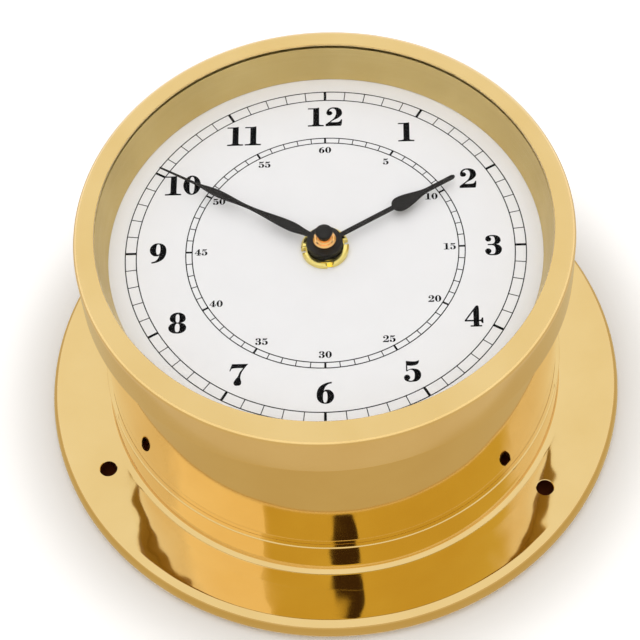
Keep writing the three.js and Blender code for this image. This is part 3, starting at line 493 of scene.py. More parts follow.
def clear_glass():
    """Thin coated glass that hardly mirrors anything, so its refraction is set close to that of air. Shadow
    rays pass straight through it."""
    material, tree = begin("coated_float_glass")
    pane = {
        "Base Color": linear("#FEFEFF"),
        "Roughness": 0.0,
        "IOR": 1.08,
        "Transmission Weight": 1.0,
    }
    glass = add(tree, "BsdfPrincipled", pane)
    open_air = add(tree, "BsdfTransparent", {"Color": linear("#FCFCFC")})
    path = add(tree, "LightPath")
    mix = {0: path.outputs["Is Shadow Ray"], 1: glass.outputs[0], 2: open_air.outputs[0]}
    end(tree, add(tree, "MixShader", mix))
    return material


def wound_wire():
    """Enamelled copper wire, wound side by side along X and drawn coarser than it is. The wave texture draws
    sin 20 x, so a scale of 2 pi / (20 p) gives it the pitch p."""
    material, tree = begin("enamelled_copper_wire")
    place = add(tree, "TexCoord").outputs["Object"]
    turns = {"Vector": place, "Scale": 2 * math.pi / (20 * WIRE_PITCH * MM), "Distortion": 0.0}
    wire = add(tree, "TexWave", turns, bands_direction="X", wave_profile="SIN")
    patches = noise(tree, 3.0)
    surface = {
        "Base Color": tinted(tree, patches.outputs[0], "#8E431C", "#B9683A"),
        "Metallic": 1.0,
        "Roughness": 0.35,
        "Normal": add(
            tree, "Bump", {"Strength": 1.0, "Distance": WIRE_DEPTH * MM, "Height": wire.outputs["Fac"]}
        ).outputs[0],
    }
    end(tree, add(tree, "BsdfPrincipled", surface))
    return material


LOOKS = {
    # Lacquered brass, spun and buffed to a mirror: deep gold where it mirrors itself, pale where it mirrors
    # the white round it
    "polished_brass": brass("lacquered_polished_brass", "#ECCD8B", "#E7C681", 0.05, 0.00012, 0.2, 0.4),
    # The flange's sheet, spun over a former: its images waver more
    "spun_brass": brass("lacquered_spun_brass", "#ECCD8B", "#E7C681", 0.05, 0.00012, 0.2, 0.4, 9.0),
    # The same brass buffed a little less: its images are soft
    "buffed_brass": brass("lacquered_buffed_brass", "#ECCD8B", "#E7C681", 0.11, 0.0002, 0.3, 0.3),
    # The bezel's lower edge and its inside as they left the tool: dull, and darker brown as painted shade
    "dull_brass_painted_shade": brass("unpolished_brass_painted_shade", "#B9A560", "#A99552", 0.45, 0.001),
    # Brass blasted and lacquered: an even soft sheen without images
    "matte_brass": brass("blasted_brass", "#DBC486", "#D1B878", 0.45, 0.0006),
    # Turned brass straight from the tool: bright, yellow and finely grooved
    "bright_brass": brass("machined_brass", "#F0DE86", "#E4CB70", 0.2, 0.0015),
    # Red brass, turned bright: warmer than the rest
    "red_brass": brass("turned_red_brass", "#F0C07E", "#E2AB66", 0.12, 0.001),
    # Float glass with a coating that takes its gleam away: clear, with only its edge to see
    "clear_glass": clear_glass(),
    # Nitrile rubber, cut from sheet: dull black
    "black_rubber": coated("cut_rubber", "#1E1D1C", "#171615", 0.75, 0.4, 0.01),
    # Stove enamel on aluminium: even white with a low sheen and a trace of orange peel
    "white_dial": coated("white_stove_enamel", "#EFEFF0", "#EDEDEE", 0.42, 1.6, 0.002),
    # Screen printing ink: flat black, a little dull
    "ink": coated("screen_printing_ink", "#0E0E10", "#0B0B0C", 0.6, 0.3, 0.002, specular=0.04),
    # Black enamel on stamped brass: dark warm grey where light lies on it
    "black_hands": coated("black_satin_enamel", "#1D1B19", "#181614", 0.45, 0.25, 0.003, specular=0.2),
    # Moulded ABS with a fine spark-eroded grain
    "black_plastic": coated("moulded_black_abs", "#222225", "#1B1B1E", 0.5, 0.5, 0.012),
    # Moulded acetal: white, slightly waxy
    "white_plastic": coated("moulded_white_acetal", "#EAE8DF", "#E1DED3", 0.38, 0.8, 0.004),
    # Stamped steel strip with a tin finish
    "steel": coated("tinned_steel", "#C2C5C8", "#AEB1B5", 0.3, 0.5, 0.004, metallic=1.0),
    # Enamelled copper wire, wound in layers: reddish brown and finely ribbed
    "copper_winding": wound_wire(),
    # Glass fibre board under green solder mask
    "green_board": coated("green_solder_mask", "#2E7048", "#24603B", 0.35, 1.2, 0.01, coat=0.3),
    # Sintered ferrite: dark grey, open-grained
    "ferrite": coated("sintered_ferrite", "#3E3E41", "#303033", 0.6, 0.3, 0.01),
    # Printed film shrunk round the cell
    "battery_jacket": coated("shrunk_blue_film", "#3F7095", "#376689", 0.3, 0.6, 0.004, coat=0.4),
}


# Case and flange


def flange_outline():
    """Section of the flange: a foot, a rim of two quarter ellipses that meet at its widest level, the flat
    face, a quarter round fillet and the collar, then the ledge inside it and the sheet's underside."""
    radius, bottom, top = span("base_flange")
    barrel_r = span("barrel")[0]
    rim_r = radius - RIM_WIDTH
    collar_r = barrel_r + COLLAR_GAP + COLLAR_WALL
    collar_inner = barrel_r + PUSH_FIT
    foot_inner = rim_r - RIM_FOOT
    under = FLANGE_FACE - FLANGE_SHEET
    inner_width = RIM_WIDTH - FLANGE_SHEET
    rim_middle = (rim_r, RIM_WIDEST)
    return rounded([
        (foot_inner, bottom, EASED_EDGE),
        (rim_r - STRAIGHT, bottom, 0),
        *arc(rim_middle, (RIM_WIDTH, RIM_WIDEST), 270, 360, RIM_LOWER_STEPS)[:-1],
        *arc(rim_middle, (RIM_WIDTH, FLANGE_FACE - RIM_WIDEST), 0, 90, RIM_UPPER_STEPS),
        (rim_r - STRAIGHT, FLANGE_FACE, 0),
        (collar_r + FILLET_R + STRAIGHT, FLANGE_FACE, 0),
        *arc((collar_r + FILLET_R, FLANGE_FACE + FILLET_R), (FILLET_R, FILLET_R), 270, 180, FILLET_STEPS),
        (collar_r, FLANGE_FACE + FILLET_R + STRAIGHT, 0),
        (collar_r, top, COLLAR_EDGE),
        (collar_inner, top, CRISP_EDGE),
        (collar_inner, LEDGE_TOP, 0),
        (LEDGE_INNER_R, LEDGE_TOP, SOFT_EDGE),
        (LEDGE_INNER_R, under, SOFT_EDGE),
        *arc(rim_middle, (inner_width, under - RIM_WIDEST), 90, 0, RIM_INNER_STEPS)[:-1],
        *arc(rim_middle, (inner_width, RIM_WIDEST - FLANGE_SHEET), 360, 270, RIM_FOOT_STEPS),
        (foot_inner, FLANGE_SHEET, EASED_EDGE),
    ])


def hole_cutter(at):
    """A screw hole's shape: a straight bore whose upper edge is broken by a small chamfer."""
    wide = SCREW_HOLE_R + SCREW_HOLE_EDGE
    section = [
        (0, -CUTTER_REACH),
        (SCREW_HOLE_R, -CUTTER_REACH),
        (SCREW_HOLE_R, FLANGE_FACE - SCREW_HOLE_EDGE),
        (wide, FLANGE_FACE),
        (wide, FLANGE_FACE + CUTTER_REACH),
        (0, FLANGE_FACE + CUTTER_REACH),
    ]
    points, faces = turned(section, SMALL_SEGMENTS, centre=(*at, 0))
    return add_piece("hole_cutter", points, faces, LOOKS["polished_brass"], "wall_base", "polished_brass")


def flange():
    """The turned flange and collar, with a screw hole cut out of it at each turn of the screw circle."""
    piece = add_piece(
        "flange_and_collar", *turned(flange_outline()), LOOKS["spun_brass"],
        "wall_base", "polished_brass", "base_flange",
    )
    for turn in SCREW_TURNS:
        angle = math.radians(turn)
        cutter = hole_cutter((SCREW_CIRCLE_R * math.cos(angle), SCREW_CIRCLE_R * math.sin(angle)))
        cut = piece.modifiers.new("screw_hole", "BOOLEAN")
        cut.operation = "DIFFERENCE"
        cut.solver = "EXACT"
        cut.object = cutter
        apply_modifiers(piece)
        bpy.data.objects.remove(cutter)
    piece.data.set_sharp_from_angle(angle=CREASE)


def apply_modifiers(piece):
    """Replace a piece's mesh by the one that its modifiers make."""
    shaped = piece.evaluated_get(bpy.context.evaluated_depsgraph_get())
    mesh = bpy.data.meshes.new_from_object(shaped)
    piece.modifiers.clear()
    piece.data = mesh


def barrel():
    """The drum: a straight wall with a lip turned in at its top."""
    radius, bottom, top = span("barrel")
    inner = radius - BARREL_WALL
    section = rounded([
        (inner, bottom, ROUND_EDGE), (radius, bottom, SOFT_EDGE), (radius, top, BARREL_SHOULDER),
        (BARREL_LIP_R, top, ROUND_EDGE), (BARREL_LIP_R, top - BARREL_WALL, ROUND_EDGE),
        (inner, top - BARREL_WALL, SOFT_EDGE),
    ])
    add_piece(
        "drum_barrel", *turned(section), LOOKS["polished_brass"], "clock_case", "polished_brass", "barrel",
    )


def bezel():
    """The ring over the drum, rounded at its top, with a lip over the glass. Its inside and the faces that
    look down are dull, and darker brown as painted shade."""
    radius, bottom, top = span("bezel_ring")
    inner = span("barrel")[0] + PUSH_FIT
    under_lip = top - BEZEL_LIP
    section = rounded([
        (inner, bottom, BROKEN_EDGE), (radius, bottom, BEZEL_LOWER_EDGE), (radius, top, BEZEL_ROUNDING),
        (BEZEL_WINDOW_R, top, BEZEL_INNER_EDGE), (BEZEL_WINDOW_R, under_lip, BROKEN_EDGE),
        (inner, under_lip, 0),
    ], BEZEL_STEPS)
    ring = add_piece(
        "bezel", *turned(section), LOOKS["buffed_brass"], "clock_case", "polished_brass", "bezel_ring",
    )
    ring.data.materials.append(LOOKS["dull_brass_painted_shade"])
    # Painted shade: the faces that look down, and the inside below the lip, take the darker brown brass
    for face in ring.data.polygons:
        inward = face.center.xy.dot(face.normal.xy) < 0 and face.center.z < under_lip * MM
        if inward or face.normal.z < -DOWNWARD:
            face.material_index = 1


def reflector():
    """The cone between dial and glass, with a thin lip that goes up to the glass."""
    _, bottom, top = span("reflector_ring")
    lip_top = span("window_glass")[1] - REFLECTOR_GAP
    lip_outer = REFLECTOR_TOP_R + REFLECTOR_LIP
    section = rounded([
        (REFLECTOR_FOOT_R, bottom, BROKEN_EDGE), (REFLECTOR_FOOT_R + REFLECTOR_WALL, bottom, BROKEN_EDGE),
        (REFLECTOR_TOP_R + REFLECTOR_WALL, top, 0), (lip_outer, top, 0),
        (lip_outer, lip_top, 0), (REFLECTOR_TOP_R, lip_top, BROKEN_EDGE), (REFLECTOR_TOP_R, top, 0),
    ])
    add_piece(
        "reflector", *turned(section), LOOKS["matte_brass"], "clock_case", "matte_brass", "reflector_ring",
    )


def window():
    """The flat round glass, its edge a little eased."""
    radius, bottom, top = span("window_glass")
    section = rounded([(0, bottom, 0), (radius, bottom, EASED_EDGE), (radius, top, EASED_EDGE), (0, top, 0)])
    add_piece(
        "front_glass", *turned(section), LOOKS["clear_glass"], "clock_case", "clear_glass", "window_glass",
    )


# Dial and its print


def dial():
    """The enamelled disc with the hole for the movement's bush."""
    radius, bottom, top = span("dial_plate")
    section = rounded([
        (DIAL_HOLE_R, bottom, BROKEN_EDGE), (radius, bottom, EASED_EDGE), (radius, top, EASED_EDGE),
        (DIAL_HOLE_R, top, BROKEN_EDGE),
    ])
    add_piece("dial_face", *turned(section), LOOKS["white_dial"], "clock_case", "white_dial", "dial_plate")


# Digits as contours, in shares of a digit's height, seen as the dial shows them. A list is a point where
# the line runs smoothly, a tuple is a corner, and an oval is a counter by its centre and half axes.
SIX_BODY = [
    (0.70, 0.925), [0.56, 0.90], [0.41, 0.78], (0.335, 0.60), (0.36, 0.615), [0.44, 0.645],
    [0.66, 0.60], [0.81, 0.355], [0.70, 0.10], [0.42, 0.0], [0.10, 0.12], [0.0, 0.415],
    [0.10, 0.74], [0.36, 0.92], (0.70, 1.0),
]
DIGITS = {
    "0": (0.87, [[0.435, 0.0], [0.87, 0.5], [0.435, 1.0], [0.0, 0.5]], [(0.435, 0.495, 0.125, 0.435)]),
    "1": (0.80, [
        (0.0, 0.0), (0.80, 0.0), (0.80, 0.065), (0.62, 0.075), (0.565, 0.11), (0.565, 1.0), (0.53, 1.0),
        [0.42, 0.98], (0.0, 0.98), (0.0, 0.92), (0.265, 0.92), (0.265, 0.11), (0.20, 0.075), (0.0, 0.065),
    ], []),
    "2": (0.83, [
        (0.0, 0.0), (0.76, 0.0), [0.80, 0.05], (0.83, 0.34), (0.77, 0.34), [0.70, 0.235], [0.56, 0.20],
        (0.25, 0.205), [0.40, 0.31], [0.62, 0.42], [0.79, 0.57], [0.83, 0.72], [0.72, 0.92], [0.42, 1.0],
        [0.15, 0.92], [0.04, 0.72], [0.09, 0.60], [0.19, 0.575], [0.30, 0.61], [0.34, 0.69], [0.28, 0.78],
        (0.17, 0.805), [0.24, 0.89], [0.36, 0.935], [0.48, 0.88], [0.53, 0.74], [0.51, 0.58], [0.42, 0.42],
        [0.27, 0.29], (0.0, 0.10),
    ], []),
    "3": (0.81, [
        [0.0, 0.22], [0.09, 0.06], [0.34, 0.0], [0.66, 0.05], [0.81, 0.28], [0.72, 0.47], (0.53, 0.54),
        [0.70, 0.61], [0.77, 0.76], [0.66, 0.94], [0.38, 1.0], [0.12, 0.95], [0.03, 0.82], [0.08, 0.71],
        [0.19, 0.685], [0.30, 0.74], [0.30, 0.85], (0.21, 0.905), [0.32, 0.945], [0.44, 0.91], [0.49, 0.77],
        [0.46, 0.62], (0.34, 0.56), (0.14, 0.56), (0.14, 0.50), (0.35, 0.50), [0.47, 0.43], [0.50, 0.28],
        [0.46, 0.11], [0.34, 0.055], (0.19, 0.095), [0.28, 0.15], [0.29, 0.26], [0.19, 0.335], [0.07, 0.32],
    ], []),
    "4": (0.88, [
        (0.27, 0.0), (0.81, 0.0), (0.81, 0.065), (0.68, 0.065), (0.68, 0.25), [0.76, 0.24], (0.81, 0.16),
        (0.88, 0.16), (0.88, 0.42), (0.81, 0.42), [0.76, 0.33], (0.68, 0.32), [0.68, 0.95], [0.62, 1.0],
        (0.54, 0.98), (0.0, 0.31), (0.0, 0.25), (0.42, 0.25), (0.42, 0.065), (0.27, 0.065),
    ], [[(0.10, 0.32), (0.42, 0.32), (0.42, 0.73)]]),
    "5": (0.81, [
        (0.11, 0.49), (0.17, 0.49), [0.26, 0.545], [0.38, 0.55], [0.48, 0.46], [0.51, 0.32], [0.48, 0.14],
        [0.36, 0.055], (0.20, 0.09), [0.28, 0.14], [0.29, 0.24], [0.18, 0.33], [0.06, 0.30], [0.01, 0.18],
        [0.10, 0.05], [0.36, 0.0], [0.68, 0.07], [0.81, 0.32], [0.70, 0.54], [0.44, 0.61], [0.27, 0.585],
        (0.17, 0.54), (0.17, 0.755), [0.46, 0.75], [0.66, 0.82], (0.73, 1.0), [0.60, 0.95], [0.40, 0.94],
        (0.11, 0.97),
    ], []),
    "6": (0.81, SIX_BODY, [(0.40, 0.31, 0.105, 0.255)]),
    "7": (0.88, [
        (0.0, 0.68), (0.06, 0.68), [0.11, 0.78], [0.24, 0.81], (0.65, 0.81), [0.49, 0.62], [0.40, 0.42],
        [0.27, 0.26], [0.21, 0.12], [0.27, 0.02], [0.385, 0.0], [0.53, 0.04], [0.57, 0.17], [0.52, 0.36],
        [0.58, 0.60], [0.72, 0.81], (0.88, 1.0), (0.12, 1.0),
    ], []),
    "8": (0.85, [
        [0.0, 0.26], [0.13, 0.07], [0.425, 0.0], [0.72, 0.07], [0.85, 0.26], [0.75, 0.45], (0.56, 0.505),
        [0.75, 0.58], [0.81, 0.73], [0.70, 0.92], [0.43, 1.0], [0.16, 0.92], [0.05, 0.73], [0.11, 0.58],
        (0.29, 0.505), [0.11, 0.45],
    ], [(0.425, 0.72, 0.095, 0.20), (0.425, 0.272, 0.115, 0.203)]),
}
DIGITS["9"] = (
    0.81,
    [type(point)((0.81 - point[0], 1.0 - point[1])) for point in SIX_BODY],
    [(0.41, 0.69, 0.105, 0.255)],
)
CURVE_STEPS = 7
CURVE_PULL = 1.1
OVAL_STEPS = 28
OVAL_POWER = 2.6


def flowing(contour):
    """Closed curve through a contour: cubic Hermite pieces whose slope at a smooth point runs from its
    neighbour before to its neighbour after. At a corner the slope is 1.5 chords less half the slope at the
    piece's other end, which leaves the line unbent there. Between two corners the line is straight."""
    points = np.array([tuple(p) for p in contour], float)
    corner = np.array([isinstance(p, tuple) for p in contour])
    ahead, behind = np.roll(points, -1, axis=0), np.roll(points, 1, axis=0)
    chord = ahead - points
    length = np.linalg.norm(chord, axis=1, keepdims=True)
    slope = (ahead - behind) / np.linalg.norm(ahead - behind, axis=1, keepdims=True)
    leave, arrive = slope * length * CURVE_PULL, np.roll(slope, -1, axis=0) * length * CURVE_PULL
    next_corner = np.roll(corner, -1)
    both = (corner & next_corner)[:, None]
    leave = np.where(corner[:, None], 1.5 * chord - 0.5 * arrive, leave)
    arrive = np.where(next_corner[:, None], 1.5 * chord - 0.5 * leave, arrive)
    leave, arrive = np.where(both, chord, leave), np.where(both, chord, arrive)
    t = np.arange(CURVE_STEPS)[None, :, None] / CURVE_STEPS
    weights = (2 * t**3 - 3 * t**2 + 1, t**3 - 2 * t**2 + t, 3 * t**2 - 2 * t**3, t**3 - t**2)
    parts = (points, leave, ahead, arrive)
    curve = sum(weight * part[:, None, :] for weight, part in zip(weights, parts))
    shown = ~(corner & next_corner)[:, None] | (np.arange(CURVE_STEPS) == 0)[None, :]
    return curve[shown]


def oval(centre_x, centre_y, half_x, half_y):
    """Upright counter with nearly straight sides, |x|^p + |y|^p = 1 with p a little over 2."""
    t = np.arange(OVAL_STEPS) * 2 * np.pi / OVAL_STEPS
    shape = [np.sign(f(t)) * np.abs(f(t)) ** (2 / OVAL_POWER) for f in (np.cos, np.sin)]
    return np.column_stack([centre_x + half_x * shape[0], centre_y + half_y * shape[1]])


def number(text, centre, height, width):
    """Upright figures of a number, side by side round a centre."""
    total = sum(DIGITS[digit][0] for digit in text) + DIGIT_GAP * (len(text) - 1)
    start = -total / 2
    meshes = []
    _, bottom, top = span("dial_plate")
    for digit in text:
        wide, body, counters = DIGITS[digit]
        contours = [flowing(body)]
        contours += [oval(*c) if isinstance(c, tuple) else flowing(c) for c in counters]
        placed = [(c + [start, -0.5]) * [width, height] + centre for c in contours]
        meshes.append(plate(placed, top - INK_DEPTH, top + INK_RISE))
        start += wide + DIGIT_GAP
    return meshes


def numbers(name, count, value, radius, height, width):
    """A ring of upright numbers: the k-th stands at k / count of a turn, clockwise from twelve."""
    meshes = []
    for k in range(1, count + 1):
        angle = math.pi / 2 - 2 * math.pi * k / count
        centre = [radius * math.cos(angle), radius * math.sin(angle)]
        meshes += number(str(k * value), centre, height, width)
    add_piece(name, *together(*meshes), LOOKS["ink"], "clock_case", "black_hands")


def line_ring(radius, width):
    """A printed circle: a flat ring of ink as wide as the line."""
    _, _, top = span("dial_plate")
    low, high = top - INK_DEPTH, top + INK_RISE
    inner, outer = radius - width / 2, radius + width / 2
    return turned([(inner, low), (outer, low), (outer, high), (inner, high)])


def tick(angle, start, stop, width):
    """A bar along a radius."""
    _, _, top = span("dial_plate")
    along = np.array([math.cos(angle), math.sin(angle)])
    across = np.array([-along[1], along[0]]) * width / 2
    contour = [start * along - across, stop * along - across, stop * along + across, start * along + across]
    return plate([np.array(contour)], top - INK_DEPTH, top + INK_RISE)


def track(name, radii, five_line):
    """Railway track of two circles with a bar between them for each minute, every fifth one heavier."""
    inner, outer = radii
    meshes = [line_ring(inner, TRACK_LINE), line_ring(outer, TRACK_LINE)]
    for k in range(MINUTES):
        width = TICK_LINE if k % FIVE_MINUTES else five_line
        meshes.append(tick(math.radians(360 / MINUTES * k), inner, outer, width))
    add_piece(name, *together(*meshes), LOOKS["ink"], "clock_case", "black_hands")


def dial_print():
    """The two railway tracks and the two rings of numbers."""
    track("minute_track", MINUTE_TRACK, FIVE_MINUTE_LINE)
    track("inner_track", INNER_TRACK, INNER_FIVE_LINE)
    numbers("hour_numbers", HOURS, 1, HOUR_CIRCLE_R, HOUR_HEIGHT, HOUR_WIDTH)
    numbers("minute_numbers", HOURS, FIVE_MINUTES, SMALL_CIRCLE_R, SMALL_HEIGHT, SMALL_WIDTH)


# Hands and what holds them


def circle(radius, steps=SMALL_SEGMENTS, start=0.0, stop=2 * math.pi):
    """Points (r cos t, r sin t). A full turn leaves out the last one, which would be the first again."""
    t = np.linspace(start, stop, steps, endpoint=stop - start < 2 * math.pi - 1e-9)
    return np.column_stack([radius * np.cos(t), radius * np.sin(t)])


def spin(angle):
    """Matrix that turns points in the dial's plane anticlockwise."""
    return np.array([[math.cos(angle), -math.sin(angle)], [math.sin(angle), math.cos(angle)]])


def taper(from_at, from_half, to_at, to_half):
    """Half widths that swell or shrink along a hand as half a wave does: h0 + (h1 - h0)(1 - cos pi s) / 2."""
    share = np.arange(1, TAPER_STEPS + 1) / TAPER_STEPS
    along = from_at + (to_at - from_at) * share
    return np.column_stack([along, from_half + (to_half - from_half) * (1 - np.cos(np.pi * share)) / 2])


def hand(name, halves, bore, turn, body, node):
    """A stamped hand: its eye, and a blade given by half widths along it, turned clockwise from twelve."""
    _, bottom, top = span(node)
    root = halves[0, 1]
    reach = math.sqrt(HAND_EYE_R**2 - root**2)
    lean = math.asin(root / HAND_EYE_R)
    right = np.column_stack([halves[:, 1], halves[:, 0]])
    left = right[::-1] * [-1, 1]
    eye = circle(HAND_EYE_R, EYE_STEPS, math.pi / 2 + lean, 2.5 * math.pi - lean)
    blade = [side[side[:, 1] > reach + EYE_CLEAR] for side in (right, left)]
    contours = [c @ spin(math.radians(-turn)).T for c in (np.vstack([*blade, eye]), circle(bore))]
    add_piece(name, *plate(contours, bottom, top, HAND_EDGE), LOOKS["black_hands"], body, "black_hands", node)


def hour_hand():
    """A straight shaft with a spade: round at its back, and drawn in to the shaft again towards the tip."""
    t = np.radians(np.linspace(SPADE_BACK, 90, TAPER_STEPS))
    back = np.column_stack([SPADE_AT + SPADE_HALF * np.cos(t), SPADE_HALF * np.sin(t)])
    halves = np.vstack([
        [(HAND_ROOT, HOUR_SHAFT)], back, taper(SPADE_AT, SPADE_HALF, SPADE_END, HOUR_SHAFT),
        [(HOUR_LENGTH - HOUR_SHAFT, HOUR_SHAFT), (HOUR_LENGTH, HOUR_TIP)],
    ])
    hand("hour_blade", halves, HOUR_BORE_R, HOUR_TURN, "hour_hand_group", "hour_hand")


def minute_hand():
    """A shaft that swells to a leaf, then a waist, a bulge and a needle that runs straight to the tip."""
    halves = np.vstack([
        [(HAND_ROOT, MINUTE_SHAFT)], taper(HAND_EYE_R, MINUTE_SHAFT, *LEAF), taper(*LEAF, *WAIST),
        taper(*WAIST, *BULGE), taper(*BULGE, *NEEDLE), [(MINUTE_LENGTH, MINUTE_TIP)],
    ])
    hand("minute_blade", halves, MINUTE_BORE_R, MINUTE_TURN, "minute_hand_group", "minute_hand")


def nut():
    """Round nut with slots in its rim, its upper edge broken."""
    _, bottom, top = span("fixing_nut")
    lean = math.asin(NUT_SLOT_HALF / NUT_R)
    pitch = 2 * math.pi / NUT_SLOTS
    slot = np.array([[NUT_SLOT_FLOOR_R, -NUT_SLOT_HALF], [NUT_SLOT_FLOOR_R, NUT_SLOT_HALF]])
    outline = []
    for k in range(NUT_SLOTS):
        middle = math.radians(NUT_TURN) + pitch * k
        outline.append(slot @ spin(middle).T)
        outline.append(circle(NUT_R, NUT_RIM_STEPS, middle + lean, middle + pitch - lean))
    contours = [np.vstack(outline), circle(NUT_BORE_R)]
    add_piece(
        "slotted_nut", *plate(contours, bottom, top, NUT_EDGE), LOOKS["bright_brass"],
        "clock_case", "bright_brass", "fixing_nut",
    )


def collet():
    """The black disc under the hour hand."""
    _, bottom, top = span("hour_hand_collet")
    section = rounded([
        (HOUR_BORE_R, bottom, BROKEN_EDGE), (COLLET_R, bottom, BROKEN_EDGE),
        (COLLET_R, top, BROKEN_EDGE), (HOUR_BORE_R, top, BROKEN_EDGE),
    ])
    add_piece(
        "collet", *turned(section, SMALL_SEGMENTS), LOOKS["black_hands"],
        "hour_hand_group", "black_hands", "hour_hand_collet",
    )


def hand_bush():
    """The minute hand's bush, with a chamfered edge and a neck that flares at its foot."""
    _, cap_foot, cap_top = span("hand_cap")
    neck_top = cap_top - CAP_HEIGHT - PUSH_FIT
    _, bottom, top = span("minute_hand_bush")
    section = rounded([
        (MINUTE_BORE_R, bottom, 0), (HAND_BUSH_R, bottom, CRISP_EDGE),
        (HAND_BUSH_R, top - HAND_BUSH_EDGE, CRISP_EDGE), (HAND_BUSH_R - HAND_BUSH_EDGE, top, CRISP_EDGE),
        (NECK_R + NECK_FLARE, top, CRISP_EDGE), (NECK_R, top + NECK_FLARE, BROKEN_EDGE),
        (NECK_R, neck_top, 0), (NECK_BORE_R, neck_top, 0),
        (NECK_BORE_R, cap_foot, 0), (MINUTE_BORE_R, cap_foot, 0),
    ])
    add_piece(
        "hand_bush", *turned(section, SMALL_SEGMENTS), LOOKS["red_brass"],
        "minute_hand_group", "bright_brass", "minute_hand_bush",
    )


def cap():
    """The cap on the neck: a flat disc whose top is half an ellipse."""
    top = span("hand_cap")[2]
    under = top - CAP_HEIGHT
    section = rounded([
        (0, under, 0), (CAP_R, under, BROKEN_EDGE),
        *arc((0, top - CAP_DOME), (CAP_R, CAP_DOME), 0, 90, CAP_STEPS),
    ])
    add_piece(
        "domed_cap", *turned(section, SMALL_SEGMENTS), LOOKS["black_hands"],
        "minute_hand_group", "black_hands", "hand_cap",
    )


# Movement


def bevelled(node, name, width, look, body):
    """A copy of a CAD node with its doubles merged, flat faces made whole and edges rounded."""
    mesh = nodes[node].data.copy()
    work = bmesh.new()
    work.from_mesh(mesh)
    bmesh.ops.remove_doubles(work, verts=work.verts, dist=DOUBLE_WITHIN * MM)
    bmesh.ops.dissolve_limit(work, angle_limit=FLAT_WITHIN, verts=work.verts, edges=work.edges)
    work.to_mesh(mesh)
    work.free()
    mesh.materials.clear()
    mesh.materials.append(LOOKS[look])
    piece = bpy.data.objects.new(name, mesh)
    bpy.context.scene.collection.objects.link(piece)
    soft = piece.modifiers.new("edges", "BEVEL")
    soft.width = width * MM
    soft.segments = BEVEL_SEGMENTS
    soft.limit_method = "ANGLE"
    soft.angle_limit = BEVEL_FROM
    soft.harden_normals = True
    apply_modifiers(piece)
    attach(piece, body)
    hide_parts(node)


def battery():
    """Cell lying along X: the jacket with its rolled shoulders, and the steel can's ends and nub."""
    low, high = (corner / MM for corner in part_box("battery_cell"))
    radius = (high.y - low.y) / 2
    centre = (0, (low.y + high.y) / 2, (low.z + high.z) / 2)
    left, right = low.x, high.x
    shoulder = right - NUB_HEIGHT
    film = rounded([
        (radius - FILM_LAP, left + FILM_START, 0), (radius, left + FILM_START, SOFT_EDGE),
        (radius, shoulder, FILM_SHOULDER), (radius - FILM_NUB_LAP, shoulder, 0),
        (radius - FILM_NUB_LAP, shoulder - FILM_WALL, 0), (radius - FILM_WALL, shoulder - FILM_SLOPE, 0),
        (radius - FILM_WALL, left + FILM_LAP, 0), (radius - FILM_LAP, left + FILM_LAP, 0),
    ])
    can = rounded([
        (0, left, 0), (radius - CAN_INSET, left, SOFT_EDGE), (radius - CAN_INSET, shoulder - CAN_SLOPE, 0),
        (radius - CAN_NUB_INSET, shoulder - CAN_DROP, SOFT_EDGE),
        (NUB_FOOT_R, shoulder - CAN_DROP, ROUND_EDGE), (NUB_R, right, NUB_EDGE), (0, right, 0),
    ])
    add_piece(
        "battery_film", *turned(film, SMALL_SEGMENTS, "x", centre), LOOKS["battery_jacket"],
        "battery", "battery_jacket", "battery_cell",
    )
    add_piece(
        "battery_can", *turned(can, SMALL_SEGMENTS, "x", centre), LOOKS["steel"],
        "battery", "steel", "battery_cell",
    )


def movement():
    """The movement's box and the setting knob with rounded edges, and the cell."""
    bevelled("movement_front_case", "movement_shell", CASE_BEVEL, "black_plastic", "clock_case")
    bevelled("movement_back_cover", "movement_cover", COVER_BEVEL, "black_plastic", "clock_case")
    bevelled("setting_knob", "time_knob", KNOB_BEVEL, "white_plastic", "setting_group")
    battery()


def dress_the_rest():
    """Give each CAD node that is still shown the look of its slot."""
    for part in frame["record"]["subparts"]:
        mesh = nodes[part["node"]].data
        mesh.materials.clear()
        mesh.materials.append(LOOKS[part["material_slot"]])


# Floor, light and camera


def seen_directly(tree):
    """One for rays from the camera, from mirrors and through glass, nought for rays that light a matte
    surface, also where they reach it through the glass."""
    path = add(tree, "LightPath").outputs
    seen = add(tree, "Math", {0: path["Is Camera Ray"], 1: path["Is Glossy Ray"]}, operation="MAXIMUM")
    both = add(tree, "Math", {0: seen.outputs[0], 1: path["Is Transmission Ray"]}, operation="MAXIMUM")
    no_matte = add(tree, "Math", {0: path["Diffuse Depth"], 1: 0.5}, operation="LESS_THAN")
    return add(tree, "Math", {0: both.outputs[0], 1: no_matte.outputs[0]}, operation="MULTIPLY").outputs[0]


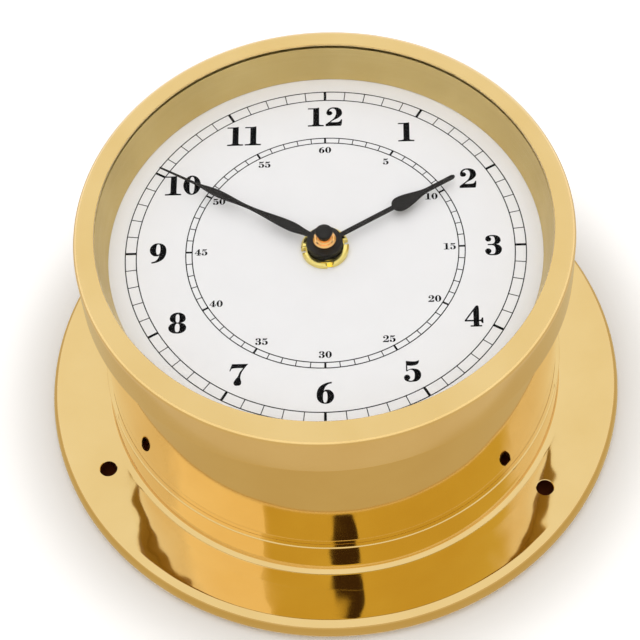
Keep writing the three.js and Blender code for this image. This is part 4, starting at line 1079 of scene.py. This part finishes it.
def floor_material():
    """Plain white board, a little rough, lifted towards white where it is seen. Where the hollow flange
    covers
    it the board is painted brown: painted shade, warm as from light off the brass, which shows in the screw
    holes."""
    material, tree = begin("white_board")
    cloud = noise(tree, 300.0, 2.0)
    distance = add(tree, "VectorMath", {0: add(tree, "TexCoord").outputs["Object"]}, operation="LENGTH")
    # Painted shade: the band under the flange is brown, standing for the dark that the screw holes show
    painted_shade_band = {0: distance.outputs["Value"], 1: PAINTED_SHADE_R * MM, 2: PAINTED_SHADE_HALF * MM}
    tone = {
        "Factor": add(tree, "Math", painted_shade_band, operation="COMPARE").outputs[0],
        6: tinted(tree, cloud.outputs[0], "#F8F8F8", "#FAFAFA"),
        7: linear("#7A3A1C"),
    }
    surface = {
        "Base Color": add(tree, "Mix", tone, data_type="RGBA").outputs[2],
        "Roughness": 0.8,
        "Specular IOR Level": 0.1,
    }
    board = add(tree, "BsdfPrincipled", surface)
    rise = {"Value": distance.outputs["Value"], "To Max": FLOOR_LIFT}
    rise["From Min"], rise["From Max"] = FLOOR_LIFT_FROM * MM, FLOOR_LIFT_FULL * MM
    lift = add(tree, "MapRange", rise, interpolation_type="SMOOTHSTEP")
    glow = add(tree, "Emission", {"Color": (1, 1, 1, 1), "Strength": lift.outputs[0]})
    lifted = add(tree, "AddShader", {0: board.outputs[0], 1: glow.outputs[0]})
    mix = {0: seen_directly(tree), 1: board.outputs[0], 2: lifted.outputs[0]}
    end(tree, add(tree, "MixShader", mix))
    return material


def rectangle(half_x, half_y):
    """Corners of a flat rectangle round the origin, anticlockwise."""
    return [(-half_x, -half_y, 0), (half_x, -half_y, 0), (half_x, half_y, 0), (-half_x, half_y, 0)]


def floor():
    """A square board at the level of the clock's foot."""
    mesh = bpy.data.meshes.new("floor")
    mesh.from_pydata(rectangle(FLOOR_HALF, FLOOR_HALF), [], [(0, 1, 2, 3)])
    mesh.materials.append(floor_material())
    board = bpy.data.objects.new("floor", mesh)
    bpy.context.scene.collection.objects.link(board)


def softbox(name, place, size, power):
    """Square lamp that looks at the clock. It isn't mirrored, so the brass shows the plain surroundings."""
    lamp = bpy.data.lights.new(name, "AREA")
    lamp.shape = "SQUARE"
    lamp.size = size
    lamp.energy = power
    holder = bpy.data.objects.new(name, lamp)
    holder.location = place
    holder.rotation_euler = (Vector((0, 0, LAMP_AIM)) - Vector(place)).to_track_quat("-Z", "Y").to_euler()
    holder.visible_glossy = False
    bpy.context.scene.collection.objects.link(holder)


def glow_material(name, width, height, colour, strength, soft):
    """Glow on an oval that fades out over a share of its half width, with nothing beyond it. It shows only
    to a ray past its first bounce, so its streaks lie where brass mirrors other brass."""
    material, tree = begin(name)
    depth_now = add(tree, "LightPath").outputs["Ray Depth"]
    twice = add(tree, "Math", {0: depth_now, 1: 1.5}, operation="GREATER_THAN")
    place = add(tree, "TexCoord").outputs["Object"]
    shares = add(tree, "Mapping", {"Vector": place, "Scale": (2 / width, 2 / height, 1)})
    depth = add(tree, "TexGradient", {"Vector": shares.outputs[0]}, gradient_type="SPHERICAL")
    fade = {"Value": depth.outputs["Fac"], "From Max": soft}
    inside = add(tree, "MapRange", fade, interpolation_type="SMOOTHSTEP")
    shown = add(tree, "Math", {0: inside.outputs[0], 1: twice.outputs[0]}, operation="MULTIPLY")
    glow = add(tree, "Emission", {"Color": linear(colour), "Strength": strength})
    open_air = add(tree, "BsdfTransparent")
    end(tree, add(tree, "MixShader", {0: shown.outputs[0], 1: open_air.outputs[0], 2: glow.outputs[0]}))
    return material


def card(name, place, width, height, colour, strength, soft):
    """Upright oval that faces the clock and is only seen in mirrors."""
    mesh = bpy.data.meshes.new(name)
    mesh.from_pydata(rectangle(width / 2, height / 2), [], [(0, 1, 2, 3)])
    mesh.materials.append(glow_material(name, width, height, colour, strength, soft))
    panel = bpy.data.objects.new(name, mesh)
    panel.location = place
    panel.rotation_euler = (Vector(place) - Vector((0, 0, MIRROR_AIM))).to_track_quat("Z", "Y").to_euler()
    only_in_mirrors(panel)


def only_in_mirrors(panel):
    """Put a surface in the scene that neither lights the clock nor shows in the picture, except in the brass.
    """
    panel.visible_camera = False
    panel.visible_diffuse = False
    panel.visible_transmission = False
    panel.visible_shadow = False
    bpy.context.scene.collection.objects.link(panel)


def table_material():
    """Glowing table top seen only in the brass, a painted reflection of the table in the clock's shade: warm,
    deeper in tone beside the clock as painted shadow, which ends in a soft step.
    """
    material, tree = begin("mirrored_table_painted_shade")
    distance = add(tree, "VectorMath", {0: add(tree, "TexCoord").outputs["Object"]}, operation="LENGTH")
    step = {"Value": distance.outputs["Value"]}
    step["From Min"] = (TABLE_STEP_R - TABLE_STEP_HALF) * MM
    step["From Max"] = (TABLE_STEP_R + TABLE_STEP_HALF) * MM
    beyond = add(tree, "MapRange", step, interpolation_type="SMOOTHSTEP")
    # Painted shadow of the clock inside the step, and the lighter table beyond it
    tone = {"Factor": beyond.outputs[0], 6: linear("#CEBB8E"), 7: linear("#DDCEB1")}
    colour = add(tree, "Mix", tone, data_type="RGBA")
    edge = {"Value": distance.outputs["Value"], "To Min": 1.0, "To Max": 0.0}
    edge["From Min"], edge["From Max"] = TABLE_FADE_R * MM, TABLE_OUTER_R * MM
    inside = add(tree, "MapRange", edge, interpolation_type="SMOOTHSTEP")
    glow = add(tree, "Emission", {"Color": colour.outputs[2], "Strength": 1.0})
    open_air = add(tree, "BsdfTransparent")
    end(tree, add(tree, "MixShader", {0: inside.outputs[0], 1: open_air.outputs[0], 2: glow.outputs[0]}))
    return material


def mirrored_table():
    """Ring on the floor round the flange: (r cos t, r sin t) between two radii, seen only in the brass."""
    ring = circle(1.0, SMALL_SEGMENTS)
    points = np.vstack([ring * TABLE_INNER_R, ring * TABLE_OUTER_R])
    points = np.column_stack([points, np.full(len(points), TABLE_RISE)]) * MM
    k = np.arange(SMALL_SEGMENTS)
    ahead = (k + 1) % SMALL_SEGMENTS
    faces = np.column_stack([k, k + SMALL_SEGMENTS, ahead + SMALL_SEGMENTS, ahead])
    mesh = bpy.data.meshes.new("mirrored_table")
    mesh.from_pydata(points.tolist(), [], faces.tolist())
    mesh.materials.append(table_material())
    only_in_mirrors(bpy.data.objects.new("mirrored_table", mesh))


def along_view(distance, turn):
    """Place at a distance from the dial towards the camera, then turned by degrees about the clock's axis."""
    angle = math.radians(-90 + turn) + DIAL_TURN
    across = distance * math.cos(CAMERA_ELEVATION)
    height = distance * math.sin(CAMERA_ELEVATION) + MIRROR_AIM
    return across * math.cos(angle), across * math.sin(angle), height


def mirrored_room():
    """What the brass shows of the camera's side: the camera, the dim room behind it, a bright window and
    the table top."""
    for name, (distance, turn, *form) in MIRRORED.items():
        card(name, along_view(distance, turn), *form)
    mirrored_table()


def surroundings():
    """White round the clock for the camera, for mirrors and through glass, and softer light on matte
    things."""
    world = bpy.data.worlds.new("studio")
    world.use_nodes = True
    tree = world.node_tree
    tree.nodes.clear()
    backdrop = add(tree, "Background", {"Color": (1, 1, 1, 1), "Strength": 1.0})
    ambient = add(tree, "Background", {"Color": linear("#FFFDFB"), "Strength": AMBIENT})
    mix = {0: seen_directly(tree), 1: ambient.outputs[0], 2: backdrop.outputs[0]}
    add(tree, "OutputWorld", {"Surface": add(tree, "MixShader", mix).outputs[0]})
    bpy.context.scene.world = world


def camera():
    """Camera fitted to the outlines of the flange and the bezel."""
    rise, fall = math.sin(CAMERA_ELEVATION), math.cos(CAMERA_ELEVATION)
    right = Vector((1, 0, 0))
    up = Vector((0, rise, fall))
    back = Vector((0, -fall, rise))
    place = Vector((
        CAMERA_SIDE,
        -CAMERA_DISTANCE * fall + CAMERA_LIFT * rise,
        CAMERA_DISTANCE * rise + CAMERA_LIFT * fall + AIM_HEIGHT,
    ))
    cosine, sine = math.cos(CAMERA_ROLL), math.sin(CAMERA_ROLL)
    axes = [cosine * right - sine * up, sine * right + cosine * up, back]
    turn = Matrix.Rotation(DIAL_TURN, 3, "Z")
    matrix = (turn @ Matrix(axes).transposed()).to_4x4()
    matrix.translation = turn @ place * MM
    data = bpy.data.cameras.new("camera")
    data.sensor_width = SENSOR_WIDTH
    data.lens = FOCAL_PIXELS / FRAME_PIXELS * SENSOR_WIDTH
    data.clip_start = NEAREST_SEEN * MM
    view = bpy.data.objects.new("camera", data)
    view.matrix_world = matrix
    bpy.context.scene.collection.objects.link(view)
    bpy.context.scene.camera = view


camera()
dress_the_rest()
flange()
barrel()
bezel()
reflector()
window()
dial()
dial_print()
hour_hand()
minute_hand()
nut()
collet()
hand_bush()
cap()
movement()
floor()
surroundings()
mirrored_room()
for lamp_name, settings in SOFTBOXES.items():
    softbox(lamp_name, *settings)
bpy.context.scene.view_settings.view_transform = "Standard"
